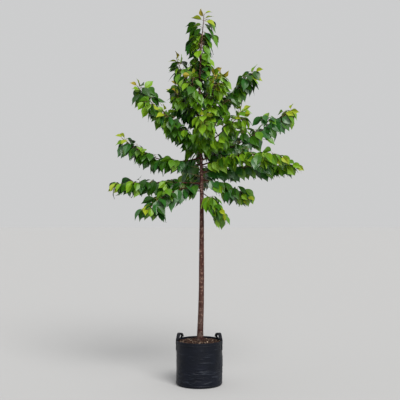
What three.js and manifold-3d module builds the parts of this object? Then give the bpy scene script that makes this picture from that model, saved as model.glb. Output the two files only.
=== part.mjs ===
// A young flowering cherry, grown as a feathered sapling and standing in a black planter bag.
// Millimetres, +Z up. The origin is the middle of the bag's flat underside, +X is to the right
// and -Y is the front.
//
// The bag holds the root ball of bark compost, and the trunk stands on that. Boughs leave the
// trunk all round. Each bough ends where its foliage starts: there a leafy shoot carries on along
// the same line, with side twigs and drooping leaves fused to it. Shorter shoots and spurs leave
// the trunk directly, and one more carries the trunk on to the top of the tree.

import * as THREE from "three";
import { mergeVertices } from "three/addons/utils/BufferGeometryUtils.js";
import Module from "manifold-3d";

const wasm = await Module();
wasm.setup();

// ---------------------------------------------------------------- driving dimensions

const GAP = 0.32; // clearance between pieces that touch

// Planter bag
const BAG_HEIGHT = 385;
const BAG_MID_RADIUS = 201;
const BAG_RIM_RADIUS = 198;
const BAG_FOOT_RADIUS = 186; // of the flat underside, inside the rounded bottom edge
const BAG_WALL = 3;
const BAG_HEM_HEIGHT = 30;
const BAG_HEM_RADIUS = 200; // outside the thicker hem
const BAG_SIDES = 32;

// Carrying handles: a webbing strap each, sewn to the bag at both ends
const STRAP_WIDTH = 30;
const STRAP_THICKNESS = 4;
const STRAP_PRESS = 0.8; // how far the hem dents the strap sewn over it
const STRAP_SEWN_LENGTH = 85;
const STRAP_RINGS = 18;
const HANDLE_RISE = 54; // of the loop above the rim
const HANDLE_LEAN = 10; // of the loop's top inwards
const HANDLE_HALF_ANGLE = 23; // degrees round the bag from the loop's middle to each leg
const HANDLE_AZIMUTHS = { handle_right: 15, handle_left: 165 };

// Root ball
const COMPOST_EDGE_HEIGHT = 366;
const GROUND_HEIGHT = 380; // of the mound's flat top, where the trunk stands
const GROUND_SEAT_RADIUS = 42;

// Trunk: its diameter by height, with a lobed flare at the foot
const TRUNK_TOP = 3060;
const TREE_TOP = 3215;
const TRUNK_DIAMETERS = [
  [GROUND_HEIGHT, 53],
  [650, 49],
  [1165, 43],
  [1600, 35],
  [1950, 24],
  [2470, 18],
  [2800, 13.5],
  [TRUNK_TOP, 8.5],
];
const FLARE_RADIUS = 6;
const FLARE_HEIGHT = 45;
const FLARE_LOBES = 5;
const TRUNK_SIDES = 12;
const TRUNK_RINGS = 20;

// The trunk's line, from the ground to the tree's top: it leans a little and straightens again
const TRUNK_LINE = new THREE.CatmullRomCurve3([
  new THREE.Vector3(6, 0, GROUND_HEIGHT),
  new THREE.Vector3(18, 4, 730),
  new THREE.Vector3(21, -4, 1200),
  new THREE.Vector3(22, 3, 1690),
  new THREE.Vector3(13, 5, 2130),
  new THREE.Vector3(6, -3, 2560),
  new THREE.Vector3(16, 0, 2880),
  new THREE.Vector3(42, 4, TREE_TOP),
]);

// Boughs: height on the trunk, azimuth from +X in degrees, horizontal reach, rise from root to
// tip, bow of the middle above the straight line, radius at the trunk, and the length of bare
// wood before the foliage starts
const BOUGHS = {
  left_low: { height: 1743, azimuth: 184, reach: 770, rise: -15, bow: 15, radius: 7, bare: 130 },
  left_mid: { height: 1972, azimuth: 177, reach: 695, rise: 170, bow: -105, radius: 6.5, bare: 120 },
  left_high: { height: 2125, azimuth: 172, reach: 560, rise: 475, bow: -60, radius: 6, bare: 110 },
  right_low: { height: 1840, azimuth: -4, reach: 825, rise: 55, bow: 20, radius: 7, bare: 140 },
  right_mid: { height: 1945, azimuth: 9, reach: 820, rise: 455, bow: -35, radius: 7, bare: 130 },
  right_high: { height: 2270, azimuth: 10, reach: 495, rise: 455, bow: 0, radius: 5.5, bare: 100 },
  right_drooping: { height: 1775, azimuth: -14, reach: 405, rise: -165, bow: 30, radius: 5, bare: 85 },
  front_right_low: { height: 1900, azimuth: -27, reach: 770, rise: 45, bow: 60, radius: 6.5, bare: 150 },
  front_right_mid: { height: 2030, azimuth: -41, reach: 455, rise: 315, bow: -20, radius: 5.5, bare: 90 },
  front_mid: { height: 2085, azimuth: -84, reach: 470, rise: 200, bow: -30, radius: 5.8, bare: 90 },
  front_left_low: { height: 1708, azimuth: 223, reach: 640, rise: -200, bow: 60, radius: 6, bare: 120 },
  front_left_mid: { height: 2060, azimuth: 222, reach: 430, rise: 300, bow: -30, radius: 5.5, bare: 90 },
  back_low: { height: 1760, azimuth: 100, reach: 690, rise: 70, bow: 30, radius: 6.5, bare: 120 },
  back_left_mid: { height: 1900, azimuth: 137, reach: 560, rise: 230, bow: -30, radius: 6, bare: 110 },
  back_right_mid: { height: 2010, azimuth: 58, reach: 580, rise: 260, bow: -30, radius: 6, bare: 110 },
  back_left_high: { height: 2270, azimuth: 125, reach: 360, rise: 380, bow: -30, radius: 5.2, bare: 85 },
};
const BOUGH_WANDER = 0.03; // sideways sway, as a share of the reach
const BOUGH_COLLAR = 0.45; // extra radius where a bough leaves the trunk
const BOUGH_SIDES = 6;
const BOUGH_RINGS = 3;

// Shoots that leave the trunk directly, in the same terms, with the length kept free of leaves
const SHOOTS = {
  left_top: { height: 2490, azimuth: 168, reach: 210, rise: 350, bow: -60, bare: 60 },
  front_right_top: { height: 2215, azimuth: -55, reach: 240, rise: 430, bow: -40, bare: 60 },
  front_drooping: { height: 1665, azimuth: -48, reach: 235, rise: -185, bow: 25, bare: 60 },
  front_high: { height: 2330, azimuth: -108, reach: 250, rise: 330, bow: -30, bare: 60 },
  back_right_high: { height: 2400, azimuth: 62, reach: 270, rise: 350, bow: -30, bare: 60 },
  left_short: { height: 2330, azimuth: 196, reach: 230, rise: 200, bow: -20, bare: 50 },
  right_short: { height: 2450, azimuth: -12, reach: 190, rise: 230, bow: -20, bare: 50 },
};

// Spurs, which hold the leaves that sit close to the trunk: most turn up alongside it
const SPURS = {
  low_left: { height: 1680, azimuth: 205, reach: 100, rise: -20 },
  low_right: { height: 1890, azimuth: 28, reach: 95, rise: 10 },
  mid_left: { height: 2030, azimuth: 190, reach: 90, rise: 55 },
  mid_back: { height: 2120, azimuth: 95, reach: 70, rise: 120 },
  mid_right: { height: 2135, azimuth: -14, reach: 65, rise: 110 },
  upper_left: { height: 2540, azimuth: 210, reach: 45, rise: 260 },
  upper_right: { height: 2580, azimuth: -30, reach: 45, rise: 260 },
  upper_back: { height: 2620, azimuth: 90, reach: 45, rise: 260 },
  crown_front: { height: 2800, azimuth: 265, reach: 38, rise: 230 },
  crown_right: { height: 2830, azimuth: 25, reach: 38, rise: 230 },
  crown_left: { height: 2860, azimuth: 145, reach: 38, rise: 230 },
};
const SPUR_HUG = 0.5; // how fast a spur turns up: its distance out grows with this power
const SPUR_BARE = 28;
const SPUR_NODE_SPACING = 20;
const LEADER_NODE_SPACING = 13;
const SHOOT_RADIUS = 4.2; // where a shoot or a spur leaves the trunk
const SPUR_RADIUS = 3.4;
const TRUNK_REACH = 200; // distance within which leaves and twigs turn away from the trunk

// Twigs
const TWIG_SIDES = 3;
const STEM_RING = 150; // length of one ring of a shoot's stem
const STEM_TIP_RADIUS = 2.6;
const NODE_SPACING = 23; // between one leaf and the next
const TWIG_SPACING = 150; // between one side twig and the next
const TWIG_LENGTH = 170;
const TWIG_RADIUS = 2.6;
const TWIG_TIP_RADIUS = 2;
const TWIG_ANGLE = THREE.MathUtils.degToRad(180); // from one side twig to the next
const GOLDEN_ANGLE = THREE.MathUtils.degToRad(137.5); // from one leaf to the next

// Leaves, drooping from the twigs and overlapping like shingles
const LEAF_LENGTH = 135; // of a full-grown leaf with its stalk
const LEAF_WIDTH_SHARE = 0.56;
const LEAF_THICKNESS_SHARE = 0.035;
const LEAF_WIDEST_AT = 0.5;
const LEAF_CURL = 0.04; // droop of the tip, as a share of the length
const YOUNG_LEAF_SHARE = 0.55; // size of the leaves at a shoot's tip
const SHINGLE_ANGLE = THREE.MathUtils.degToRad(24);
const LEAF_DROP = 50; // of the middle of a mass below its stem
const LEAF_TRIES = 12; // places tried for each leaf before it is left out
const LEAF_CLEARANCE = 0.6; // from every other piece
const SHORTEST_EDGE = 0.03; // of any join
const SPACE_MARGIN = 2; // kept to the spaces of the neighbouring masses
const SEED = 20240;

// ---------------------------------------------------------------- materials

const material = (color, roughness) =>
  new THREE.MeshStandardMaterial({ color, roughness, metalness: 0 });
const MATERIALS = {
  bag: material(0x1c1e23, 0.55),
  webbing: material(0x202226, 0.8),
  compost: material(0x4b3a2e, 1),
  bark: material(0x5a453e, 0.85),
  leaf: material(0x2f6a24, 0.45),
};

// ---------------------------------------------------------------- geometry helpers

const UP = new THREE.Vector3(0, 0, 1);

function heading(azimuth) {
  const angle = THREE.MathUtils.degToRad(azimuth);
  return new THREE.Vector3(Math.cos(angle), Math.sin(angle), 0);
}

// A repeatable stream of numbers from 0 to 1.
function seeded(seed) {
  let state = seed >>> 0;
  return () => {
    state = (state + 0x6d2b79f5) >>> 0;
    let mixed = state;
    mixed = Math.imul(mixed ^ (mixed >>> 15), mixed | 1);
    mixed ^= mixed + Math.imul(mixed ^ (mixed >>> 7), mixed | 61);
    return ((mixed ^ (mixed >>> 14)) >>> 0) / 4294967296;
  };
}

// The closed geometry as a solid that can be cut and joined.
function solidOf(geometry) {
  const bare = geometry.clone();
  bare.deleteAttribute("normal");
  bare.deleteAttribute("uv");
  const merged = mergeVertices(bare, 1e-4);
  return new wasm.Manifold(
    new wasm.Mesh({
      numProp: 3,
      vertProperties: merged.getAttribute("position").array,
      triVerts: new Uint32Array(merged.index.array),
    }),
  );
}

// The largest body of a solid, with loose scraps dropped and sealed hollows filled.
function mainBody(solid) {
  const largest = solid.decompose().reduce((a, b) => (b.volume() > a.volume() ? b : a));
  return largest.simplify(0.02);
}

function geometryOf(solid) {
  const mesh = solid.getMesh();
  const geometry = new THREE.BufferGeometry();
  geometry.setAttribute("position", new THREE.BufferAttribute(mesh.vertProperties, 3));
  geometry.setIndex(new THREE.BufferAttribute(mesh.triVerts, 1));
  const faceted = geometry.toNonIndexed();
  faceted.computeVertexNormals();
  return faceted;
}

// A piece of the tree or the bag, with a material of its own.
function namedMesh(name, geometry, meshMaterial) {
  const mesh = new THREE.Mesh(geometry, meshMaterial.clone());
  mesh.name = name;
  return mesh;
}

// Sideways and upward directions across a line that heads along `along`.
function crossDirections(along) {
  const side = new THREE.Vector3().crossVectors(along, UP);
  if (side.lengthSq() < 1e-6) side.set(1, 0, 0);
  side.normalize();
  return { side, over: new THREE.Vector3().crossVectors(side, along).normalize() };
}

// A closed bar with flat ends that follows a curve and changes radius along it. It has a corner
// below and, when its sides are three, a flat top.
function limbGeometry(curve, radiusAt, sides, rings) {
  const geometry = new THREE.CylinderGeometry(1, 1, 1, sides, rings);
  const position = geometry.getAttribute("position");
  for (let i = 0; i < position.count; i++) {
    const share = Math.round((position.getY(i) + 0.5) * rings) / rings;
    const { side, over } = crossDirections(curve.getTangentAt(share));
    const radius = radiusAt(share);
    const point = curve
      .getPointAt(share)
      .addScaledVector(side, -position.getX(i) * radius)
      .addScaledVector(over, -position.getZ(i) * radius);
    position.setXYZ(i, point.x, point.y, point.z);
  }
  return geometry;
}

// One stretch of another curve, by shares of its parameter.
class Stretch extends THREE.Curve {
  constructor(curve, from, to) {
    super();
    this.curve = curve;
    this.from = from;
    this.to = to;
  }
  getPoint(t, target = new THREE.Vector3()) {
    return target.copy(this.curve.getPoint(THREE.MathUtils.lerp(this.from, this.to, t)));
  }
}

// The same curve in straight lengths, so that what grows from it starts inside its bar.
function segmented(curve, count) {
  const points = curve.getSpacedPoints(count);
  const path = new THREE.CurvePath();
  for (let i = 0; i < count; i++) path.add(new THREE.LineCurve3(points[i], points[i + 1]));
  return path;
}

// A bough's line: straight out along its azimuth, with a rise, a bow and a slight sideways sway.
class BoughLine extends THREE.Curve {
  constructor(root, { azimuth, reach, rise, bow = 0 }, sway = 0, hug = 1) {
    super();
    this.root = root;
    this.out = heading(azimuth);
    this.side = heading(azimuth + 90);
    Object.assign(this, { reach, rise, bow, sway, hug });
  }
  getPoint(t, target = new THREE.Vector3()) {
    const arch = 4 * t * (1 - t);
    return target
      .copy(this.root)
      .addScaledVector(this.out, this.reach * t ** this.hug)
      .addScaledVector(this.side, this.sway * Math.sin(Math.PI * 1.5 * t))
      .addScaledVector(UP, this.rise * t + this.bow * arch);
  }
}

// ---------------------------------------------------------------- planter bag

// Outline of the bag's wall, or of what fills it when inset: from the axis out and up.
function bagProfile(inset) {
  const radius = (r) => r - inset;
  return [
    new THREE.Vector2(0, inset),
    new THREE.Vector2(radius(BAG_FOOT_RADIUS), inset),
    new THREE.Vector2(radius(BAG_MID_RADIUS - 5), Math.max(5, inset + 2)),
    new THREE.Vector2(radius(BAG_MID_RADIUS - 1), 16),
    new THREE.Vector2(radius(BAG_MID_RADIUS), BAG_HEIGHT * 0.5),
    new THREE.Vector2(radius(BAG_RIM_RADIUS), BAG_HEIGHT - BAG_HEM_HEIGHT + Math.min(inset, 0)),
  ];
}

// LatheGeometry turns about Y: this stands it up along Z.
function turned(profile, sides) {
  const geometry = new THREE.LatheGeometry(profile, sides);
  return geometry.rotateX(Math.PI / 2);
}

// Outline of the thicker hem, up its outside and over the rim to the axis.
function hemProfile(inset) {
  const radius = BAG_HEM_RADIUS - inset;
  return [
    new THREE.Vector2(radius, BAG_HEIGHT - BAG_HEM_HEIGHT + inset),
    new THREE.Vector2(radius, BAG_HEIGHT - inset),
    new THREE.Vector2(0, BAG_HEIGHT - inset),
  ];
}

function bagGeometry() {
  const rim = new THREE.Vector2(BAG_RIM_RADIUS - BAG_WALL, BAG_HEIGHT);
  const hem = hemProfile(0).slice(0, 2);
  const inner = bagProfile(BAG_WALL).reverse();
  return turned([...bagProfile(0), ...hem, rim, ...inner], BAG_SIDES);
}

function compostGeometry() {
  const wall = bagProfile(BAG_WALL + GAP);
  const edge = wall.pop();
  return turned(
    [
      ...wall,
      new THREE.Vector2(edge.x, COMPOST_EDGE_HEIGHT - 12),
      new THREE.Vector2(edge.x, COMPOST_EDGE_HEIGHT),
      new THREE.Vector2(edge.x * 0.6, GROUND_HEIGHT - 5),
      new THREE.Vector2(GROUND_SEAT_RADIUS, GROUND_HEIGHT),
      new THREE.Vector2(0, GROUND_HEIGHT),
    ],
    BAG_SIDES,
  );
}

// The strap's line as it lies against the bag: up one leg, over the loop and down the other.
class HandleLine extends THREE.Curve {
  constructor(azimuth) {
    super();
    this.azimuth = azimuth;
  }
  // Place from -1 (one leg) to 1 (the other), and height above the rim.
  layOf(t) {
    const leg = 0.28;
    if (t < leg) return { across: -1, above: -STRAP_SEWN_LENGTH * (1 - t / leg) };
    if (t > 1 - leg) return { across: 1, above: -STRAP_SEWN_LENGTH * (1 - (1 - t) / leg) };
    const turn = (Math.PI * (t - leg)) / (1 - 2 * leg);
    return { across: -Math.cos(turn), above: HANDLE_RISE * Math.sin(turn) };
  }
  outAt(t) {
    return heading(this.azimuth + this.layOf(t).across * HANDLE_HALF_ANGLE);
  }
  getPoint(t, target = new THREE.Vector3()) {
    const { above } = this.layOf(t);
    const lean = HANDLE_LEAN * THREE.MathUtils.smoothstep(above, 0, HANDLE_RISE);
    const radius = BAG_HEM_RADIUS + STRAP_THICKNESS / 2 - STRAP_PRESS - lean;
    return target.copy(this.outAt(t)).multiplyScalar(radius).setZ(BAG_HEIGHT + above);
  }
}

// A strap lies flat on the bag along its legs and turns edge-on to the bag over the loop.
function handleSolid(azimuth) {
  const line = new HandleLine(azimuth);
  const geometry = new THREE.BoxGeometry(1, 1, 1, 1, 1, STRAP_RINGS);
  const position = geometry.getAttribute("position");
  for (let i = 0; i < position.count; i++) {
    const t = Math.round((position.getZ(i) + 0.5) * STRAP_RINGS) / STRAP_RINGS;
    const along = line.getTangent(t);
    const { above } = line.layOf(t);
    const turn = (Math.PI / 2) * THREE.MathUtils.smoothstep(above, 0, HANDLE_RISE * 0.8);
    const across = new THREE.Vector3().crossVectors(along, line.outAt(t)).normalize();
    const width = across
      .clone()
      .multiplyScalar(Math.cos(turn))
      .addScaledVector(line.outAt(t), Math.sin(turn))
      .normalize();
    const face = new THREE.Vector3().crossVectors(width, along).normalize();
    const point = line
      .getPoint(t)
      .addScaledVector(width, -position.getX(i) * STRAP_WIDTH)
      .addScaledVector(face, position.getY(i) * STRAP_THICKNESS);
    position.setXYZ(i, point.x, point.y, point.z);
  }
  const bagWithClearance = solidOf(turned([...bagProfile(-GAP), ...hemProfile(-GAP)], BAG_SIDES));
  return mainBody(solidOf(geometry).subtract(bagWithClearance));
}

// ---------------------------------------------------------------- trunk

// The point of the trunk's line at a height.
function trunkPoint(height) {
  let low = 0;
  let high = 1;
  for (let step = 0; step < 30; step++) {
    const middle = (low + high) / 2;
    if (TRUNK_LINE.getPoint(middle).z < height) low = middle;
    else high = middle;
  }
  return TRUNK_LINE.getPoint(low);
}

function trunkRadius(height) {
  const next = TRUNK_DIAMETERS.findIndex(([above]) => above >= height);
  if (next < 0) return TRUNK_DIAMETERS.at(-1)[1] / 2;
  const [h0, d0] = TRUNK_DIAMETERS[Math.max(next - 1, 0)];
  const [h1, d1] = TRUNK_DIAMETERS[next];
  return THREE.MathUtils.mapLinear(height, h0, Math.max(h1, h0 + 1), d0, d1) / 2;
}

// Horizontal rings up the trunk's line, closer together at the root flare.
function trunkGeometry(clearance) {
  const geometry = new THREE.CylinderGeometry(1, 1, 1, TRUNK_SIDES, TRUNK_RINGS);
  const position = geometry.getAttribute("position");
  const foot = GROUND_HEIGHT + GAP;
  for (let i = 0; i < position.count; i++) {
    const share = Math.round((position.getY(i) + 0.5) * TRUNK_RINGS) / TRUNK_RINGS;
    const height = foot + (TRUNK_TOP + clearance - foot) * share ** 1.5;
    const centre = trunkPoint(height);
    const x = position.getX(i);
    const y = -position.getZ(i);
    const lobes = 1 + 0.4 * Math.cos(FLARE_LOBES * Math.atan2(y, x));
    const flare = FLARE_RADIUS * lobes * Math.exp(-(height - foot) / FLARE_HEIGHT);
    const radius = trunkRadius(height) + flare + clearance;
    position.setXYZ(i, centre.x + x * radius, centre.y + y * radius, height);
  }
  return geometry;
}

// ---------------------------------------------------------------- foliage

// The corners of a leaf along +X: its stalk end is a point, and its middle stands up as a midrib.
function leafCorners(length) {
  const half = (length * LEAF_WIDTH_SHARE) / 2;
  const widest = length * LEAF_WIDEST_AT;
  return {
    root: new THREE.Vector3(0, 0, 0),
    left: new THREE.Vector3(widest, half, 0),
    right: new THREE.Vector3(widest, -half, 0),
    middle: new THREE.Vector3(widest * 0.9, 0, length * LEAF_THICKNESS_SHARE),
    tip: new THREE.Vector3(length, 0, -length * LEAF_CURL),
  };
}

function leafSolid({ root, left, right, middle, tip }) {
  const faces = [
    [root, right, middle],
    [root, middle, left],
    [root, left, right],
    [tip, left, middle],
    [tip, middle, right],
    [tip, right, left],
  ];
  const points = faces.flat().flatMap((corner) => corner.toArray());
  const geometry = new THREE.BufferGeometry();
  geometry.setAttribute("position", new THREE.Float32BufferAttribute(points, 3));
  return solidOf(geometry);
}

// Whether a twig and what grows from it join without corners that all but coincide.
function joinsWell(carrier, solid) {
  const { vertProperties: xyz, numVert } = carrier.add(solid).getMesh();
  for (let i = 0; i < numVert; i++)
    for (let j = 0; j < i; j++) {
      const gap = Math.hypot(...[0, 1, 2].map((k) => xyz[3 * i + k] - xyz[3 * j + k]));
      if (gap < SHORTEST_EDGE) return false;
    }
  return true;
}

// The trunk and the boughs, which no leaf touches, and every twig and leaf grown so far.
const pieces = [];

function keep(solid) {
  pieces.push({ solid, box: solid.boundingBox() });
}

function boxesNear(a, b, reach) {
  return [0, 1, 2].every((k) => a.min[k] - reach <= b.max[k] && b.min[k] - reach <= a.max[k]);
}

// Whether a piece keeps clear of all the others, apart from the twig that carries it.
function isClear(solid, carrier) {
  const box = solid.boundingBox();
  return pieces.every(
    (other) =>
      other.solid === carrier ||
      !boxesNear(box, other.box, LEAF_CLEARANCE) ||
      solid.minGap(other.solid, LEAF_CLEARANCE * 2) > LEAF_CLEARANCE,
  );
}

const STEM_SAMPLES = 14;
const stems = new Map(); // mass name: points along its stem, lowered to where its leaves hang

function distanceToStem(point, name) {
  const points = stems.get(name);
  const nearest = new THREE.Vector3();
  let least = Infinity;
  for (let i = 1; i < points.length; i++) {
    new THREE.Line3(points[i - 1], points[i]).closestPointToPoint(point, true, nearest);
    least = Math.min(least, nearest.distanceTo(point));
  }
  return least;
}

// A mass's space is all that is nearer to its stem than to any other.
function inOwnSpace(point, name) {
  const own = distanceToStem(point, name);
  return [...stems.keys()].every(
    (other) => other === name || distanceToStem(point, other) > own + SPACE_MARGIN,
  );
}

// Outward direction at a turn: all round an upright shoot, to the sides of a level one, and away
// from the trunk close to it.
function outwards(root, along, turn) {
  const { side, over } = crossDirections(along);
  const level = 1 - Math.abs(along.z);
  const away = root.clone().sub(trunkPoint(root.z)).setZ(0);
  const nearness = Math.max(0, 1 - away.length() / TRUNK_REACH);
  return side
    .multiplyScalar(Math.cos(turn))
    .addScaledVector(over, Math.sin(turn) * (1 - 0.75 * level))
    .addScaledVector(away.normalize(), nearness * 1.3)
    .normalize();
}

// Turns a leaf's corners from +X to its place: stalk end at the root, tip outwards and down.
function leafPlace(root, along, out, youth, random) {
  const axis = out
    .clone()
    .multiplyScalar(0.5 + 0.2 * random())
    .addScaledVector(along, 0.1 + 0.35 * random() + 0.35 * youth)
    .addScaledVector(UP, -0.65 - 0.5 * random() + 0.75 * youth)
    .normalize();
  const face = out.clone().multiplyScalar(0.8).addScaledVector(UP, 0.5);
  const across = new THREE.Vector3().crossVectors(face, axis).normalize();
  across.applyAxisAngle(axis, SHINGLE_ANGLE * (0.6 + 0.8 * random()));
  const upper = new THREE.Vector3().crossVectors(axis, across);
  return new THREE.Matrix4().makeBasis(axis, across, upper).setPosition(root);
}

// One leaf: the first place that is in the mass's own space and clear of everything else.
function growLeaf(mass, twig, { root, along, turn, length, youth }, random) {
  for (let attempt = 0; attempt < LEAF_TRIES; attempt++) {
    const out = outwards(root, along, turn + attempt * 0.6 * (random() - 0.5));
    const place = leafPlace(root, along, out, youth, random);
    const corners = leafCorners(length * (1 - 0.02 * attempt));
    for (const corner of Object.values(corners)) corner.applyMatrix4(place);
    const { left, right, tip } = corners;
    if (![left, right, tip].every((corner) => inOwnSpace(corner, mass.name))) continue;
    const solid = leafSolid(corners);
    if (isClear(solid, twig.solid) && joinsWell(twig.solid, solid)) return solid;
  }
  return null;
}

// Leaves at even steps along a twig. One that finds no free place is left out.
function growLeaves(mass, twig) {
  const { line, bare } = twig;
  const span = line.getLength();
  const nodes = Math.max(2, Math.round((span - bare) / mass.spacing));
  const leaves = [];
  for (let node = 0; node <= nodes; node++) {
    const random = seeded(SEED + mass.index * 10007 + twig.index * 211 + node);
    const share = THREE.MathUtils.lerp(bare / span, 0.995, node / nodes);
    const youth = THREE.MathUtils.smoothstep(share, 0.7, 1);
    const grown = LEAF_LENGTH * (0.85 + 0.3 * random());
    const place = {
      root: line.getPointAt(share),
      along: line.getTangentAt(share),
      turn: mass.turn + node * GOLDEN_ANGLE,
      length: grown * THREE.MathUtils.lerp(1, YOUNG_LEAF_SHARE, youth),
      youth,
    };
    const leaf = growLeaf(mass, twig, place, random);
    if (!leaf) continue;
    keep(leaf);
    leaves.push(leaf);
  }
  return leaves;
}

function growTwig(curve, radius, tipRadius, rings) {
  const radiusAt = (t) => THREE.MathUtils.lerp(radius, tipRadius, t);
  return solidOf(limbGeometry(curve, radiusAt, TWIG_SIDES, rings));
}

// Side twigs at even steps along a stem, each leaning on along it.
function growTwigs(mass, stem) {
  const span = stem.line.getLength();
  const count = Math.floor(span / TWIG_SPACING);
  const twigs = [];
  for (let index = 1; index <= count; index++) {
    const random = seeded(SEED + mass.index * 10007 + index * 211 + 200);
    const share = (index - 0.65 + 0.3 * random()) / (count + 0.3);
    const root = stem.line.getPointAt(share);
    const along = stem.line.getTangentAt(share);
    const out = outwards(root, along, mass.turn + index * TWIG_ANGLE);
    const reach = TWIG_LENGTH * (0.6 + 0.6 * random()) * (1 - 0.45 * share);
    const heads = along.clone().add(out).setLength(reach);
    const line = new THREE.LineCurve3(root, root.clone().add(heads));
    const solid = growTwig(line, TWIG_RADIUS, TWIG_TIP_RADIUS, 1);
    if (!inOwnSpace(line.v2, mass.name)) continue;
    if (!isClear(solid, stem.solid) || !joinsWell(stem.solid, solid)) continue;
    keep(solid);
    twigs.push({ index, line, solid, bare: reach * 0.3 });
  }
  return twigs;
}

// A mass of leaves: one stem along the line, side twigs from it, and leaves on them all.
function growMass({ name, curve, radius, bare, hasTwigs, cut, spacing = NODE_SPACING }, index) {
  const mass = { name, index, spacing, turn: seeded(SEED + index)() * Math.PI * 2 };
  const rings = Math.max(3, Math.round(curve.getLength() / STEM_RING));
  const line = segmented(curve, rings);
  let solid = growTwig(curve, radius, STEM_TIP_RADIUS, rings);
  if (cut) solid = mainBody(solid.subtract(cut));
  keep(solid);
  const stem = { index: 0, line, solid, bare };
  const twigs = [stem, ...(hasTwigs ? growTwigs(mass, stem) : [])];
  const leaves = twigs.flatMap((twig) => growLeaves(mass, twig));
  return mainBody(wasm.Manifold.union([...twigs.map((twig) => twig.solid), ...leaves]));
}

// ---------------------------------------------------------------- assembly

const tree = new THREE.Group();
tree.name = "sapling";

tree.add(namedMesh("planter_bag", bagGeometry(), MATERIALS.bag));
tree.add(namedMesh("root_ball", compostGeometry(), MATERIALS.compost));
for (const [name, azimuth] of Object.entries(HANDLE_AZIMUTHS))
  tree.add(namedMesh(name, geometryOf(handleSolid(azimuth)), MATERIALS.webbing));

const trunk = solidOf(trunkGeometry(0));
const trunkClearance = solidOf(trunkGeometry(GAP));
keep(trunk);
tree.add(namedMesh("trunk", geometryOf(trunk), MATERIALS.bark));

// Boughs, and the masses that go on from them
const masses = [];
Object.entries(BOUGHS).forEach(([name, bough], index) => {
  const sway = bough.reach * BOUGH_WANDER * (index % 2 ? 1 : -1);
  const line = new BoughLine(trunkPoint(bough.height), bough, sway);
  const length = line.getLength();
  const end = line.getUtoTmapping(0, bough.bare);
  const start = line.getUtoTmapping(0, bough.bare + GAP);
  const radiusAt = (t) =>
    THREE.MathUtils.lerp(bough.radius, STEM_TIP_RADIUS, (t * bough.bare) / length) *
    (1 + BOUGH_COLLAR * Math.exp((-t * bough.bare) / 25));
  const limb = limbGeometry(new Stretch(line, 0, end), radiusAt, BOUGH_SIDES, BOUGH_RINGS);
  const solid = mainBody(solidOf(limb).subtract(trunkClearance));
  keep(solid);
  tree.add(namedMesh(`bough_${name}`, geometryOf(solid), MATERIALS.bark));
  masses.push({
    name: `foliage_${name}`,
    curve: new Stretch(line, start, 1),
    radius: radiusAt(1) * 1.1,
    bare: 8,
    hasTwigs: true,
  });
});

// Masses that leave the trunk directly
for (const [name, shoot] of Object.entries(SHOOTS))
  masses.push({
    name: `foliage_${name}`,
    curve: new BoughLine(trunkPoint(shoot.height), shoot),
    radius: SHOOT_RADIUS,
    bare: shoot.bare,
    hasTwigs: true,
    cut: trunkClearance,
  });
for (const [name, spur] of Object.entries(SPURS))
  masses.push({
    name: `foliage_spur_${name}`,
    curve: new BoughLine(trunkPoint(spur.height), spur, 0, SPUR_HUG),
    radius: SPUR_RADIUS,
    bare: SPUR_BARE,
    hasTwigs: false,
    cut: trunkClearance,
    spacing: SPUR_NODE_SPACING,
  });

// The shoot that carries the trunk's own line on to the top
masses.push({
  name: "foliage_leader",
  curve: new THREE.CatmullRomCurve3(
    [0, 0.34, 0.67, 1].map((share) =>
      trunkPoint(THREE.MathUtils.lerp(TRUNK_TOP, TREE_TOP, share)),
    ),
  ),
  radius: trunkRadius(TRUNK_TOP),
  bare: 5,
  hasTwigs: false,
  cut: trunkClearance,
  spacing: LEADER_NODE_SPACING,
});

for (const { name, curve } of masses) {
  const points = curve.getSpacedPoints(STEM_SAMPLES);
  for (const point of points) point.z -= LEAF_DROP;
  stems.set(name, points);
}
masses.forEach((mass, index) => {
  tree.add(namedMesh(mass.name, geometryOf(growMass(mass, index)), MATERIALS.leaf));
});

export default tree;
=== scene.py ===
"""A young cherry-like tree in a black planter bag, dressed round its CAD model.

Metres, +Z up. The origin is the middle of the bag's underside and -Y is the front. The trunk's
line, the boughs and the rule by which twigs and leaves grow are the CAD model's own, carried on
here to finer twigs and whole leaves.
"""

import math
from bisect import bisect_right

import bpy
import numpy as np
from mathutils import Matrix, Vector
from mathutils.bvhtree import BVHTree


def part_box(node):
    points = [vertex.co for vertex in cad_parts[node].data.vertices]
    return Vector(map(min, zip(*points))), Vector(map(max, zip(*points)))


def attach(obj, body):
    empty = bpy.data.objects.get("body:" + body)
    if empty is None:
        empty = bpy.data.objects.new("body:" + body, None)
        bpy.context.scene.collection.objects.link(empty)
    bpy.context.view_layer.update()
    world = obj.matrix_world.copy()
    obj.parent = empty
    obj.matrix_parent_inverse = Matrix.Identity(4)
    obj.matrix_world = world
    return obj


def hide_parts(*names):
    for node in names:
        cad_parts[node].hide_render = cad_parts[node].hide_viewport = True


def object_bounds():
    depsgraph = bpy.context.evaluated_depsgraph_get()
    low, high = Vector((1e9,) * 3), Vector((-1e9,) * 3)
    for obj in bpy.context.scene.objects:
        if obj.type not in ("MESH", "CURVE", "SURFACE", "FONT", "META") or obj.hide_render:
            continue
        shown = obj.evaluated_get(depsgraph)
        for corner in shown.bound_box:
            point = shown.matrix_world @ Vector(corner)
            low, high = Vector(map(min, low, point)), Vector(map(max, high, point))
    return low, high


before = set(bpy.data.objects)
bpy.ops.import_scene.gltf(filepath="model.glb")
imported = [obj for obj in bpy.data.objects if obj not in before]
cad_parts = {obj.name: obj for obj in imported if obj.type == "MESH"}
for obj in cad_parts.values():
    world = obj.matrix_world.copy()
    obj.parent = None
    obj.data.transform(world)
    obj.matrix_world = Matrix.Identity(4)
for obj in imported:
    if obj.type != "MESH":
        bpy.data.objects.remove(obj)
CAD_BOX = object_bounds()

UP = Vector((0, 0, 1))
FULL_TURN = 2 * math.pi

# ---- sizes shared with the CAD model

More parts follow.
